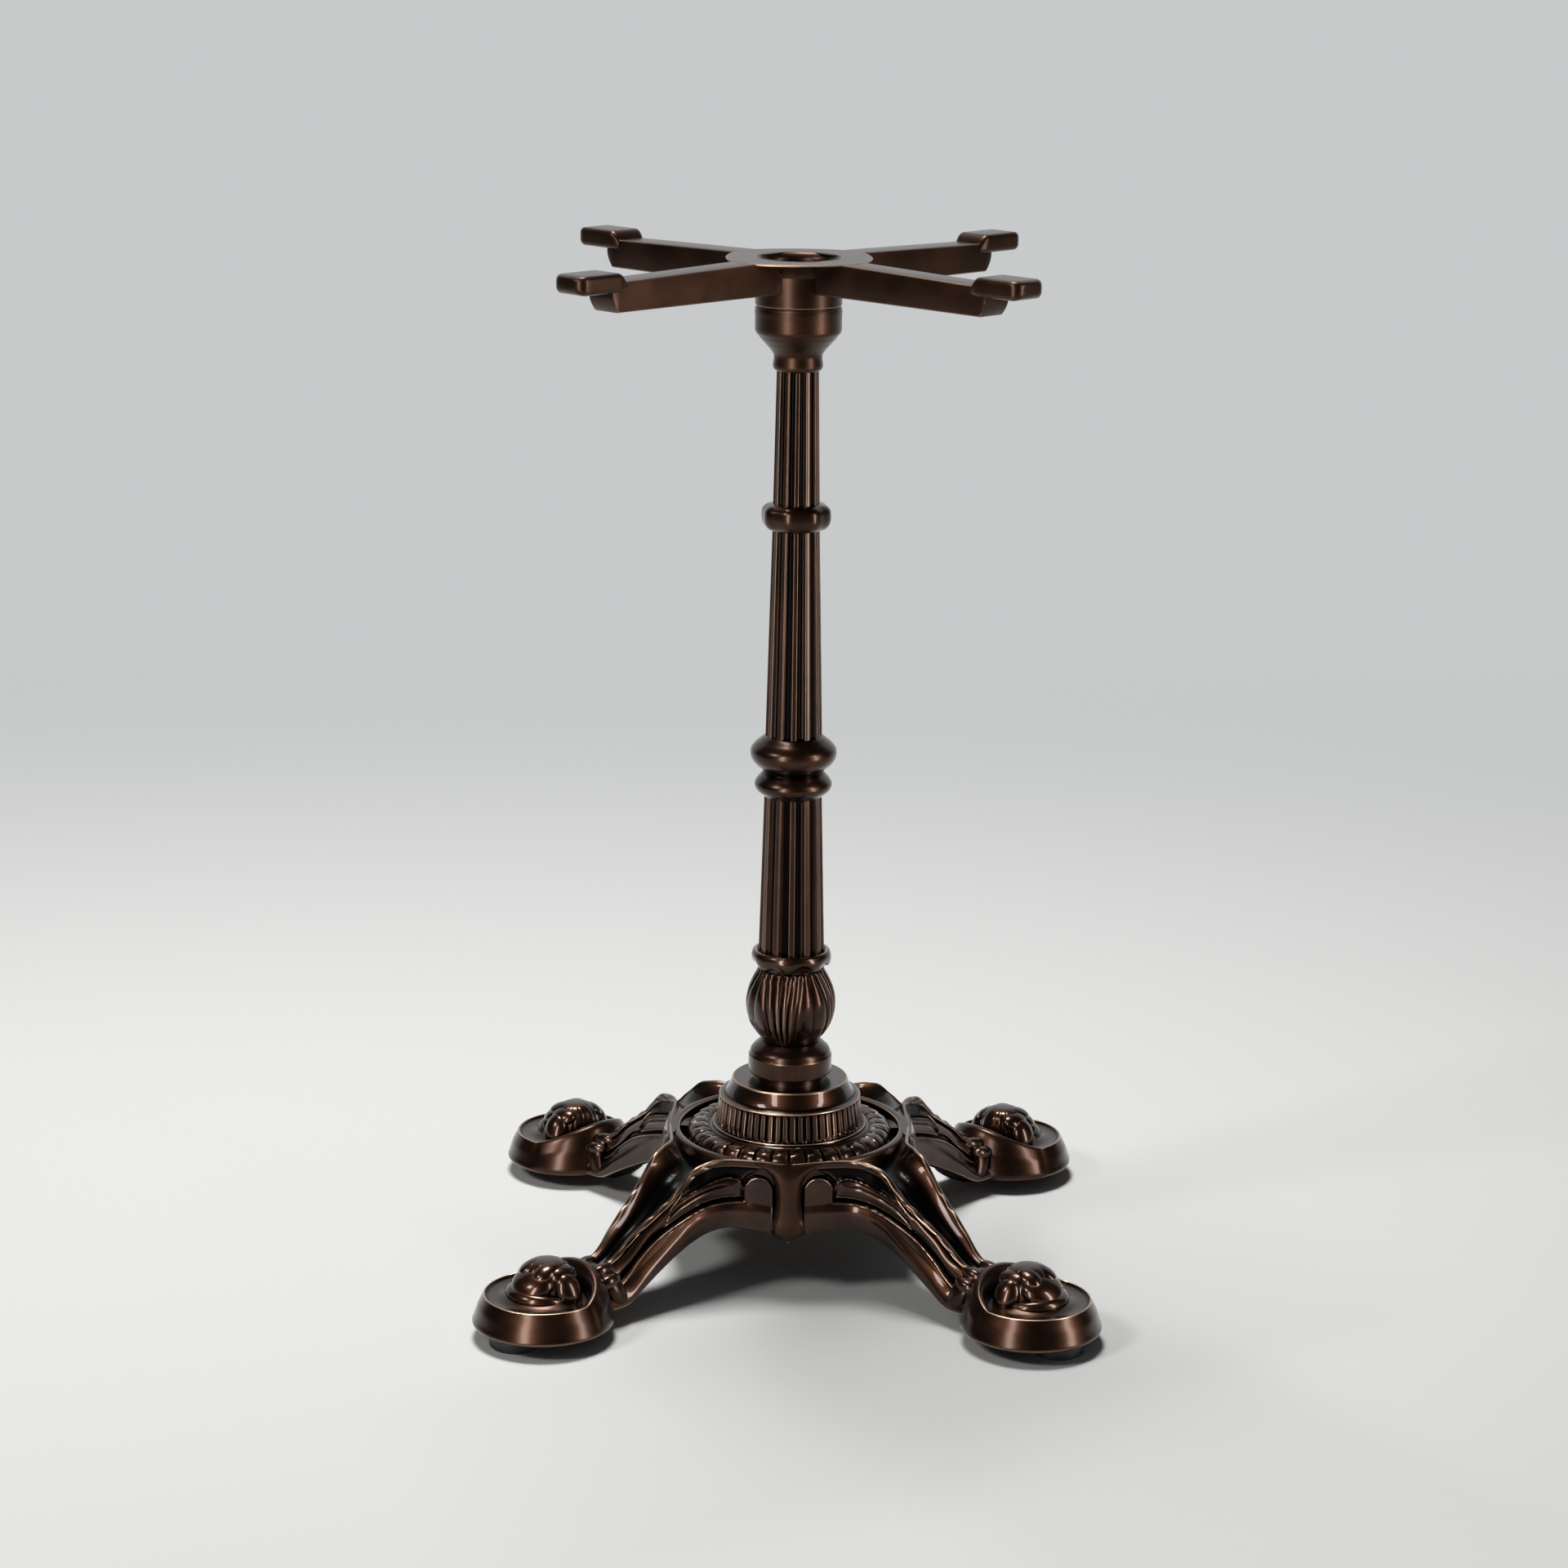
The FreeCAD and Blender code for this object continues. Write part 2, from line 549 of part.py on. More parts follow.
def base_casting():
    hub = cylinder(RIM_R, WELL_FLOOR - WELL_FLOOR_THICKNESS, RIM_TOP - 1.5)
    legs = [around(leg(), angle) for angle in QUARTERS.values()]
    shell = hub.fuse(legs)
    cavities = [around(leg_cavity(), angle) for angle in QUARTERS.values()]
    pocket = cylinder(APRON_REACH - LEG_WALL - 12.0, APRON_BOTTOM - 20.0, WELL_FLOOR - WELL_FLOOR_THICKNESS)
    shell = shell.cut(cavities + [pocket])
    added = [cylinder(BOSS_R, BOSS_BOTTOM, WELL_FLOOR)]
    for turn in range(4):
        added.append(around(keystone(), 90 * turn))
        added += [around(t, 90 * turn) for t in tongues()]
    for angle in QUARTERS.values():
        added += [around(cuff(), angle), around(foot(), angle)]
    shell = shell.fuse(added)
    well = cylinder(WELL_R, WELL_FLOOR, RIM_TOP + 20.0)
    hole = cylinder(ROD_HOLE_R, BOSS_BOTTOM - 1, WELL_FLOOR + 1)
    return shell.cut([well, hole])


# Spider
def pad(top):
    """Rounded pad that laps over the end of an arm, with a screw hole beyond the arm."""
    block = Part.makeBox(PAD_LENGTH, PAD_WIDTH, PAD_THICKNESS,
                         Vector(PAD_REACH - PAD_LENGTH / 2, -PAD_WIDTH / 2, top - PAD_THICKNESS))
    upright = [e for e in block.Edges if abs(e.BoundBox.ZLength - PAD_THICKNESS) < 0.01]
    block = block.makeFillet(PAD_CORNER_R, upright)
    rims = [e for e in block.Edges if e.BoundBox.ZLength < 0.01 and e.BoundBox.ZMax < top - 1]
    block = block.makeChamfer(PAD_EDGE_R, rims)
    crown = [e for e in block.Edges if e.BoundBox.ZLength < 0.01 and e.BoundBox.ZMin > top - 0.01]
    return block.makeChamfer(PAD_EDGE_R / 3, crown)


def arm(top):
    """Straight arm whose end leans inwards towards the bottom."""
    outline = [(0, top), (ARM_END, top), (ARM_END, top - PAD_THICKNESS + PAD_RISE),
               (ARM_END - ARM_END_TAPER, top - ARM_DEPTH), (0, top - ARM_DEPTH), (0, top)]
    side = Part.makePolygon([Vector(x, -ARM_WIDTH / 2, z) for x, z in outline])
    return Part.Face(side).extrude(Vector(0, ARM_WIDTH, 0))


def web_disc(top):
    """Disc round the hub's mouth; its underside flares out of the hub on a hollow curve."""
    root = (FOOT_DRUM_R - 0.5, top - WEB_FLARE)
    edge = (WEB_R, top - WEB_EDGE)
    slant = math.sqrt(0.5)
    middle = (edge[0] - (edge[0] - root[0]) * slant, root[1] + (edge[1] - root[1]) * slant)
    return turned(arc(root, middle, edge) + line(edge, (WEB_R, top), (0, top), (0, root[1]), root))


def spider(seat):
    arm_top = seat + HUB_HEIGHT
    pad_top = arm_top + PAD_RISE
    mouth = HUB_BORE_R + HUB_MOUTH_ROUND
    hub = cylinder(FOOT_DRUM_R, seat + 1.0, arm_top)
    seam = cylinder(FOOT_DRUM_R - HUB_SEAM_DEPTH, seat, seat + 1.0)
    web = web_disc(arm_top)
    solids = [seam, web]
    for angle in QUARTERS.values():
        solids += [around(arm(arm_top), angle), around(pad(pad_top), angle)]
    floor = seat + HUB_FLOOR_THICKNESS
    bore = turned(line((0, floor), (HUB_BORE_R, floor), (HUB_BORE_R, arm_top - HUB_MOUTH_ROUND))
                  + arc((HUB_BORE_R, arm_top - HUB_MOUTH_ROUND),
                        (mouth - HUB_MOUTH_ROUND * 0.71, arm_top - HUB_MOUTH_ROUND * 0.29), (mouth, arm_top))
                  + line((mouth, arm_top), (mouth, arm_top + 10), (0, arm_top + 10), (0, floor)))
    socket = cylinder(SPIGOT_R + SPIGOT_CLEARANCE, seat - 1, seat + SPIGOT_HEIGHT + SPIGOT_CLEARANCE)
    rod_hole = cylinder(ROD_HOLE_R, seat - 1, floor + 1)
    screw_hole = cylinder(PAD_HOLE_R, arm_top - ARM_DEPTH - 1, pad_top + 1, PAD_HOLE_REACH)
    cuts = [bore, socket, rod_hole] + [around(screw_hole, angle) for angle in QUARTERS.values()]
    return hub.fuse(solids).cut(cuts)


# Tie rod and its nuts and washers
def washer(bottom):
    return cylinder(WASHER_R, bottom, bottom + WASHER_THICKNESS).cut(
        cylinder(ROD_HOLE_R, bottom, bottom + WASHER_THICKNESS))


def tie_parts(seat):
    """Rod through the whole base, held by a nut and a washer at each end."""
    lower_washer = BOSS_BOTTOM - WASHER_THICKNESS
    lower_nut = lower_washer - NUT_HEIGHT
    upper_washer = seat + HUB_FLOOR_THICKNESS
    upper_nut = upper_washer + WASHER_THICKNESS
    nut_hole = ROD_R + THREAD_CLEARANCE
    return {
        "tie_rod": cylinder(ROD_R, lower_nut - ROD_END, upper_nut + NUT_HEIGHT + ROD_END),
        "bottom_nut": hexagon(NUT_FLATS, lower_nut, NUT_HEIGHT, nut_hole),
        "bottom_washer": washer(lower_washer),
        "top_nut": hexagon(NUT_FLATS, upper_nut, NUT_HEIGHT, nut_hole),
        "top_washer": washer(upper_washer),
    }


# Levelling glides, worked out on +X
def glide_parts():
    pad_side = line((0, 0), (GLIDE_R - GLIDE_EDGE, 0), (GLIDE_R, GLIDE_EDGE), (GLIDE_R, GLIDE_HEIGHT - GLIDE_EDGE),
                    (GLIDE_R - GLIDE_EDGE, GLIDE_HEIGHT), (0, GLIDE_HEIGHT), (0, 0))
    disc = turned(pad_side)
    disc.translate(Vector(GLIDE_REACH, 0, 0))
    socket = cylinder(STUD_R + THREAD_CLEARANCE, STUD_BOTTOM, GLIDE_HEIGHT + 1, GLIDE_REACH)
    return {
        "glide_pad": disc.cut(socket),
        "glide_stud": cylinder(STUD_R, STUD_BOTTOM, STUD_TOP, GLIDE_REACH),
        "lock_nut": hexagon(LOCK_NUT_FLATS, LOCK_NUT_BOTTOM, LOCK_NUT_HEIGHT, STUD_R + THREAD_CLEARANCE, GLIDE_REACH),
    }


def build():
    seat = column_levels()[-1]
    nodes = {
        "base_casting": base_casting(),
        "plinth_collar": collar(),
        "column": column(),
        "top_spider": spider(seat),
    }
    nodes.update(tie_parts(seat))
    for quarter, angle in QUARTERS.items():
        for name, shape in glide_parts().items():
            nodes[name + "_" + quarter] = around(shape, angle)
    return nodes


os.makedirs("parts", exist_ok=True)
for name, shape in build().items():
    solids = shape.Solids
    solid = solids[0] if len(solids) == 1 else shape
    solid.exportStep(os.path.join("parts", name + ".step"))
    print(name, len(solids), "solid", "valid" if solid.isValid() else "INVALID", round(solid.Volume / 1000, 1), "cm3")
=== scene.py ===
import bpy
import math
import numpy as np
from mathutils import Matrix, Vector


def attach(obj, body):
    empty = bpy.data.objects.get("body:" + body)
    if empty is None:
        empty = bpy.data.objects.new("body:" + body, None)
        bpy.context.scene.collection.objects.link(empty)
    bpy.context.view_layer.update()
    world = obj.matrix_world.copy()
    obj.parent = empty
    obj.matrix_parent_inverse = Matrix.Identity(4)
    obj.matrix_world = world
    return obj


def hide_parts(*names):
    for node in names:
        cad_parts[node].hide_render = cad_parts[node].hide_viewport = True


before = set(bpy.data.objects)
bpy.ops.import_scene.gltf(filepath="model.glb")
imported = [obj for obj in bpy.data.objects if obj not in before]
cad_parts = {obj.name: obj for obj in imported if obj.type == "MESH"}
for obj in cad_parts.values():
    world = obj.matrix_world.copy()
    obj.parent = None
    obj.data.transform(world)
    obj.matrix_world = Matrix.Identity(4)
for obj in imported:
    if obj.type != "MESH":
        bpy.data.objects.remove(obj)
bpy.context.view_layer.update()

# The camera stands in front of the table base, a little above the height of the table top,
# and looks down on the feet. Its place and angles were fitted to the photograph.
CAMERA_PLACE = Vector((0.0, -2.6289, 1.0213))
CAMERA_DOWN = math.radians(14.3772)
CAMERA_PAN = math.radians(-0.1404)
CAMERA_ROLL = math.radians(0.6234)
CAMERA_LENS = 88.816
SENSOR = 36.0

ahead = Vector((math.sin(CAMERA_PAN) * math.cos(CAMERA_DOWN), math.cos(CAMERA_PAN) * math.cos(CAMERA_DOWN),
                -math.sin(CAMERA_DOWN)))
level = Vector((math.cos(CAMERA_PAN), -math.sin(CAMERA_PAN), 0.0))
upright = level.cross(ahead)
right = math.cos(CAMERA_ROLL) * level + math.sin(CAMERA_ROLL) * upright
above = math.cos(CAMERA_ROLL) * upright - math.sin(CAMERA_ROLL) * level
turn = Matrix((right, above, -ahead)).transposed().to_4x4()
lens = bpy.data.cameras.new("photo_camera")
lens.lens = CAMERA_LENS
lens.sensor_width = SENSOR
camera = bpy.data.objects.new("photo_camera", lens)
camera.matrix_world = Matrix.Translation(CAMERA_PLACE) @ turn
bpy.context.scene.collection.objects.link(camera)
bpy.context.scene.camera = camera
bpy.context.scene.view_settings.view_transform = "Standard"

# The studio is a pale sheet that lies under the base and curves up behind it into an even grey. A lamp
# overhead and one from the left light it softly, and two tall strips make the highlights on the metal.
SHEET_WIDTH = 14.0
SHEET_FRONT = -6.0
SHEET_BACK = 3.2
SHEET_BEND = 1.6
SHEET_TOP = 6.0
FLOOR_GREY = (0.72, 0.72, 0.705, 1.0)
WALL_GREY = (0.573, 0.584, 0.590, 1.0)
NEAR_Y, FAR_Y = 0.25, 2.1


def node_material(name):
    """New node material, given back with its nodes, links and surface shader."""
    material = bpy.data.materials.new(name)
    material.use_nodes = True
    nodes = material.node_tree.nodes
    return material, nodes, material.node_tree.links, nodes["Principled BSDF"]


def studio_material():
    """Matt floor that turns, with the distance behind the base, into the even grey of a backdrop that is
    seen directly and in reflections but lights nothing."""
    material, nodes, links, shader = node_material("studio_sheet")
    place = nodes.new("ShaderNodeTexCoord")
    split = nodes.new("ShaderNodeSeparateXYZ")
    share = nodes.new("ShaderNodeMapRange")
    share.interpolation_type = "SMOOTHSTEP"
    share.inputs["From Min"].default_value = NEAR_Y
    share.inputs["From Max"].default_value = FAR_Y
    links.new(place.outputs["Object"], split.inputs[0])
    links.new(split.outputs["Y"], share.inputs["Value"])
    shader.inputs["Base Color"].default_value = FLOOR_GREY
    shader.inputs["Roughness"].default_value = 0.9
    shader.inputs["Specular IOR Level"].default_value = 0.1
    path = nodes.new("ShaderNodeLightPath")
    seen = nodes.new("ShaderNodeMath")
    seen.operation = "MAXIMUM"
    links.new(path.outputs["Is Camera Ray"], seen.inputs[0])
    links.new(path.outputs["Is Glossy Ray"], seen.inputs[1])
    through = nodes.new("ShaderNodeMath")
    through.operation = "MAXIMUM"
    links.new(seen.outputs[0], through.inputs[0])
    links.new(path.outputs["Is Transmission Ray"], through.inputs[1])
    factor = nodes.new("ShaderNodeMath")
    factor.operation = "MULTIPLY"
    links.new(through.outputs[0], factor.inputs[0])
    links.new(share.outputs["Result"], factor.inputs[1])
    backdrop = nodes.new("ShaderNodeEmission")
    backdrop.inputs["Color"].default_value = WALL_GREY
    blend = nodes.new("ShaderNodeMixShader")
    links.new(factor.outputs[0], blend.inputs[0])
    links.new(shader.outputs[0], blend.inputs[1])
    links.new(backdrop.outputs[0], blend.inputs[2])
    links.new(blend.outputs[0], nodes["Material Output"].inputs["Surface"])
    return material


def sheet_mesh(columns=12, rows=60):
    """Floor, quarter-round bend and wall: the profile (y, z) is carried along X."""
    floor = np.column_stack([np.linspace(SHEET_FRONT, SHEET_BACK, rows // 3), np.zeros(rows // 3)])
    lean = np.linspace(0, math.pi / 2, rows // 3 + 1)[1:]
    bend = np.column_stack([SHEET_BACK + SHEET_BEND * np.sin(lean), SHEET_BEND * (1 - np.cos(lean))])
    wall = np.array([[SHEET_BACK + SHEET_BEND, SHEET_TOP]])
    profile = np.vstack([floor, bend, wall])
    x = np.linspace(-SHEET_WIDTH / 2, SHEET_WIDTH / 2, columns)
    points = np.zeros((len(profile), columns, 3))
    points[..., 0] = x
    points[..., 1:] = profile[:, None, :]
    r, c = np.meshgrid(np.arange(len(profile) - 1), np.arange(columns - 1), indexing="ij")
    first = (r * columns + c).ravel()
    quads = np.column_stack([first, first + 1, first + columns + 1, first + columns])
    mesh = bpy.data.meshes.new("studio_sheet")
    mesh.from_pydata(points.reshape(-1, 3).tolist(), [], quads.tolist())
    mesh.polygons.foreach_set("use_smooth", [True] * len(mesh.polygons))
    return mesh


def soft_lamp(name, place, size, power, target=(0.0, 0.0, 0.3), lights_floor=True):
    """Rectangular lamp that faces the base; a strip that only makes highlights leaves the floor alone."""
    light = bpy.data.lights.new(name, "AREA")
    light.shape = "RECTANGLE"
    light.size, light.size_y = size
    light.energy = power
    lamp = bpy.data.objects.new(name, light)
    lamp.location = place
    lamp.rotation_euler = (Vector(target) - Vector(place)).to_track_quat("-Z", "Y").to_euler()
    lamp.visible_diffuse = lights_floor
    bpy.context.scene.collection.objects.link(lamp)


sheet = bpy.data.objects.new("studio_sheet", sheet_mesh())
sheet.data.materials.append(studio_material())
bpy.context.scene.collection.objects.link(sheet)
STRIP_Z = 0.76
soft_lamp("key_lamp", (-2.2, -1.3, 2.3), (0.7, 0.7), 29)
soft_lamp("left_strip", (-0.80, -1.42, STRIP_Z), (0.30, 1.45), 21, (0.0, 0.0, STRIP_Z), lights_floor=False)
soft_lamp("right_strip", (1.45, -0.75, STRIP_Z), (0.28, 1.45), 19, (0.0, 0.0, STRIP_Z), lights_floor=False)
soft_lamp("top_lamp", (-0.3, 0.65, 3.1), (1.0, 1.0), 95)
world = bpy.context.scene.world or bpy.data.worlds.new("studio")
bpy.context.scene.world = world
world.use_nodes = True
world.node_tree.nodes["Background"].inputs["Color"].default_value = (0.75, 0.78, 0.82, 1.0)
world.node_tree.nodes["Background"].inputs["Strength"].default_value = 0.07

# The middle of the base casting is a round well with a flat floor and a raised rim. It is sand-cast
# grey iron, sprayed in dark bronze and rubbed back to a coppery tone on its edges. From here on, lengths
# are in millimetres until a piece is made.
MM = 0.001
RIM_TOP = 95.7
RIM_R = 84.6
WELL_R = 78.5
WELL_FLOOR = 84.0
FLOOR_THICKNESS = 8.0
BOSS_R = 22.0
BOSS_BOTTOM = 68.0
ROD_HOLE_R = 6.5
ROUND_COUNT = 180
BRONZE = (0.030, 0.0128, 0.0066, 1.0)
BRONZE_WARM = (0.051, 0.0215, 0.0112, 1.0)
RUBBED = (0.84, 0.54, 0.36, 1.0)
# Near-black of the painted shade that the bronze puts in its hollows, and in the leg valleys and sunk
# grounds.
PAINTED_SHADE = (0.002, 0.0015, 0.0013, 1.0)
CLOUD_SCALE, CLOUD_LOW, CLOUD_HIGH = 34.0, 0.35, 0.7
GRAIN_SCALE = 700.0
WORN_FROM, WORN_FULL = 0.26, 0.95
DEEP_FROM, DEEP_FULL = -0.05, -0.34
SHADE_COAT = 0.15
CLOUD_ROUGHNESS = 0.10
RELIEF_LIMIT = 1.5


def bronze_material(name, rub, gloss, film=1.24, matt=0.26):
    """Sprayed bronze on cast iron under a thin lacquer: body tone varies in clouds, convex edges are
    rubbed, and hollows get painted shade: near-black, with the lacquer thinned there; gloss is the
    roughness of the lacquer, film its index, and matt the roughness of the bronze below it."""
    material, nodes, links, shader = node_material(name)
    place = nodes.new("ShaderNodeTexCoord")
    clouds = nodes.new("ShaderNodeTexNoise")
    clouds.inputs["Scale"].default_value = CLOUD_SCALE
    clouds.inputs["Detail"].default_value = 3.0
    grain = nodes.new("ShaderNodeTexNoise")
    grain.inputs["Scale"].default_value = GRAIN_SCALE
    grain.inputs["Detail"].default_value = 2.0
    relief = nodes.new("ShaderNodeAttribute")
    relief.attribute_name = "relief"
    links.new(place.outputs["Object"], clouds.inputs["Vector"])
    links.new(place.outputs["Object"], grain.inputs["Vector"])

    def ranged(source, low, high, top=1.0):
        """Source stretched so that low gives 0 and high gives top, with soft ends."""
        node = nodes.new("ShaderNodeMapRange")
        node.interpolation_type = "SMOOTHSTEP"
        node.inputs["From Min"].default_value = low
        node.inputs["From Max"].default_value = high
        node.inputs["To Max"].default_value = top
        links.new(source, node.inputs["Value"])
        return node.outputs["Result"]

    def mixed(first, second, factor):
        """First colour that turns into the second with the factor; either is a value or a node's output."""
        node = nodes.new("ShaderNodeMix")
        node.data_type = "RGBA"
        for socket, value in (("A", first), ("B", second)):
            if isinstance(value, tuple):
                node.inputs[socket].default_value = value
            else:
                links.new(value, node.inputs[socket])
        links.new(factor, node.inputs["Factor"])
        return node.outputs["Result"]

    tone = mixed(BRONZE, BRONZE_WARM, ranged(clouds.outputs["Fac"], CLOUD_LOW, CLOUD_HIGH))
    worn = ranged(relief.outputs["Fac"], WORN_FROM, WORN_FULL, rub)
    # Painted shade: where the relief is low, in hollows and where shade was added, the colour turns
    # near-black.
    painted_shade = ranged(relief.outputs["Fac"], DEEP_FROM, DEEP_FULL)
    tone = mixed(tone, RUBBED, worn)
    tone = mixed(tone, PAINTED_SHADE, painted_shade)
    links.new(tone, shader.inputs["Base Color"])
    rough = nodes.new("ShaderNodeMapRange")
    rough.inputs["To Min"].default_value = matt
    rough.inputs["To Max"].default_value = matt + CLOUD_ROUGHNESS
    links.new(clouds.outputs["Fac"], rough.inputs["Value"])
    links.new(rough.outputs["Result"], shader.inputs["Roughness"])
    bump = nodes.new("ShaderNodeBump")
    bump.inputs["Strength"].default_value = 0.04
    bump.inputs["Distance"].default_value = 0.0005
    links.new(grain.outputs["Fac"], bump.inputs["Height"])
    links.new(bump.outputs["Normal"], shader.inputs["Normal"])
    # Painted shade also thins the lacquer in the hollows, so that it reflects little there.
    shade_coat = nodes.new("ShaderNodeMapRange")
    shade_coat.inputs["To Min"].default_value = 1.0
    shade_coat.inputs["To Max"].default_value = SHADE_COAT
    links.new(painted_shade, shade_coat.inputs["Value"])
    links.new(shade_coat.outputs["Result"], shader.inputs["Coat Weight"])
    shader.inputs["Metallic"].default_value = 1.0
    shader.inputs["Coat IOR"].default_value = film
    shader.inputs["Coat Roughness"].default_value = gloss
    return material


def bend_along(points, axis, closed):
    """Curvature vector along one way of a grid: change of direction over the mean step."""
    ahead_step = np.roll(points, -1, axis) - points
    back_step = points - np.roll(points, 1, axis)
    long_a = np.linalg.norm(ahead_step, axis=-1, keepdims=True) + 1e-6
    long_b = np.linalg.norm(back_step, axis=-1, keepdims=True) + 1e-6
    bend = 2 * (ahead_step / long_a - back_step / long_b) / (long_a + long_b)
    if not closed:
        ends = [slice(None)] * 3
        for end, inside in ((0, 1), (-1, -2)):
            ends[axis] = end
            source = list(ends)
            source[axis] = inside
            bend[tuple(ends)] = bend[tuple(source)]
    return bend


def relief_of(points, wrap_rows, rounds=2):
    """How sharply each point of a grid stands out (positive) or lies in a hollow (negative), per mm: its
    curvature both ways, kept within a limit and softened with its neighbours for some rounds."""
    across = np.roll(points, -1, 1) - np.roll(points, 1, 1)
    along = np.gradient(points, axis=0)
    if wrap_rows:
        along = np.roll(points, -1, 0) - np.roll(points, 1, 0)
    normal = np.cross(across, along)
    normal /= np.linalg.norm(normal, axis=-1, keepdims=True) + 1e-9
    bend = bend_along(points, 1, True) + bend_along(points, 0, wrap_rows)
    value = np.clip(-(bend * normal).sum(-1), -RELIEF_LIMIT, RELIEF_LIMIT)
    for _ in range(rounds):
        inner = value.copy()
        inner[1:-1] = (value[2:] + value[:-2]) / 2
        sides = (np.roll(value, 1, 1) + np.roll(value, -1, 1)) / 2
        value = value * 0.4 + inner * 0.3 + sides * 0.3
    return value


def cast_piece(name, grids, material, replaces, sharp=40, shade=None):
    """Piece made of grids of rings (rows, ring points, xyz in mm): rings joined by quads, ends closed by
    one face each, or joined to each other where the grid is marked as a closed loop. The painted shade is
    added to the relief of the first grid, so that the bronze darkens what lies deep as if shade fell there."""
    points, faces, relief = [], [], []
    start = 0
    for rings, loop in grids:
        rows, columns = rings.shape[:2]
        r, c = np.meshgrid(np.arange(rows if loop else rows - 1), np.arange(columns), indexing="ij")
        here, there = r * columns, (r + 1) % rows * columns
        near, far = c, (c + 1) % columns
        quads = np.stack([here + near, here + far, there + far, there + near], axis=-1).reshape(-1, 4) + start
        faces += quads.tolist()
        if not loop:
            faces.append((start + np.arange(columns))[::-1].tolist())
            faces.append((start + (rows - 1) * columns + np.arange(columns)).tolist())
        relief.append(relief_of(rings, loop).ravel())
        points.append(rings.reshape(-1, 3))
        start += rows * columns
    mesh = bpy.data.meshes.new(name)
    mesh.from_pydata((np.vstack(points) * MM).tolist(), [], faces)
    relief = np.concatenate(relief)
    # Painted shade: the shade lowers the relief of the leg's valley and sunk ground, which the bronze then
    # paints near-black.
    if shade is not None:
        relief[:shade.size] += shade.ravel()
    mesh.attributes.new("relief", "FLOAT", "POINT").data.foreach_set("value", relief)
    mesh.polygons.foreach_set("use_smooth", [True] * len(mesh.polygons))
    mesh.set_sharp_from_angle(angle=math.radians(sharp))
    mesh.materials.append(material)
    piece = bpy.data.objects.new(name, mesh)
    bpy.context.scene.collection.objects.link(piece)
    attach(piece, "stand")
    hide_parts(replaces)


def smooth_through(x, stations, values):
    """Smooth curve through stations: a cubic between each pair, whose slope at a station is the mean of
    the slopes on its two sides."""
    stations, values = np.asarray(stations, float), np.asarray(values, float)
    slopes = np.gradient(values, stations)
    i = np.clip(np.searchsorted(stations, x, side="right") - 1, 0, len(stations) - 2)
    step = stations[i + 1] - stations[i]
    t = np.clip((x - stations[i]) / step, 0, 1)
    return ((2 * t**3 - 3 * t**2 + 1) * values[i] + (t**3 - 2 * t**2 + t) * step * slopes[i]
            + (3 * t**2 - 2 * t**3) * values[i + 1] + (t**3 - t**2) * step * slopes[i + 1])


def rounded(corners, steps=4):
    """Outline whose corners (a, b, radius) are rounded: each is replaced by a short curve between the
    points at the radius before and after it."""
    corners = np.array(corners, float)
    points = []
    for i, (a, b, radius) in enumerate(corners):
        here = np.array([a, b])
        if radius == 0 or i in (0, len(corners) - 1):
            points.append(here[None])
            continue
        before, after = corners[i - 1, :2] - here, corners[i + 1, :2] - here
        into = here + before / np.linalg.norm(before) * min(radius, np.linalg.norm(before) / 2)
        out = here + after / np.linalg.norm(after) * min(radius, np.linalg.norm(after) / 2)
        t = np.linspace(0, 1, steps + 1)[:, None]
        points.append((1 - t)**2 * into + 2 * t * (1 - t) * here + t**2 * out)
    return np.vstack(points)


def divided(outline, step):
    """Outline with further points, so that no run is longer than the step."""
    parts = []
    for a, b in zip(outline[:-1], outline[1:]):
        count = max(1, int(np.ceil(np.linalg.norm(b - a) / step)))
        parts.append(a + (b - a) * np.linspace(0, 1, count, endpoint=False)[:, None])
    return np.vstack(parts + [outline[-1:]])


def turned(profile, count, swell=None):
    """Rings about Z: radius and height come from the profile, and swell(angle, radius, height) changes
    them where it is given."""
    angle = np.linspace(0, 2 * math.pi, count, endpoint=False)
    radius = np.repeat(profile[:, :1], count, axis=1)
    height = np.repeat(profile[:, 1:2], count, axis=1)
    if swell is not None:
        radius, height = swell(angle[None, :], radius, height)
    return np.stack([radius * np.cos(angle), radius * np.sin(angle), height], axis=-1)


bronze = bronze_material("bronze_smooth", 0.8, 0.20)
bronze_carved = bronze_material("bronze_carved", 0.85, 0.05, 1.34)
bronze_fine = bronze_material("bronze_fine", 0.45, 0.12)
bronze_fluted = bronze_material("bronze_fluted", 0.16, 0.14)
bronze_satin = bronze_material("bronze_satin", 0.3, 0.28, 1.17, 0.34)

UNDERSIDE = WELL_FLOOR - FLOOR_THICKNESS
well_outline = divided(rounded([
    (ROD_HOLE_R, BOSS_BOTTOM, 0), (BOSS_R, BOSS_BOTTOM, 2), (BOSS_R, UNDERSIDE, 3), (RIM_R - 4, UNDERSIDE, 2),
    (RIM_R, UNDERSIDE + 3, 2), (RIM_R, RIM_TOP - 1.4, 1.6), (RIM_R - 2, RIM_TOP, 1.6),
    (WELL_R, RIM_TOP - 0.8, 1.2), (WELL_R, WELL_FLOOR, 1.0), (ROD_HOLE_R, WELL_FLOOR, 0)]), 3.0)
cast_piece("base_well", [(turned(well_outline, ROUND_COUNT), True)], bronze, "base_casting")

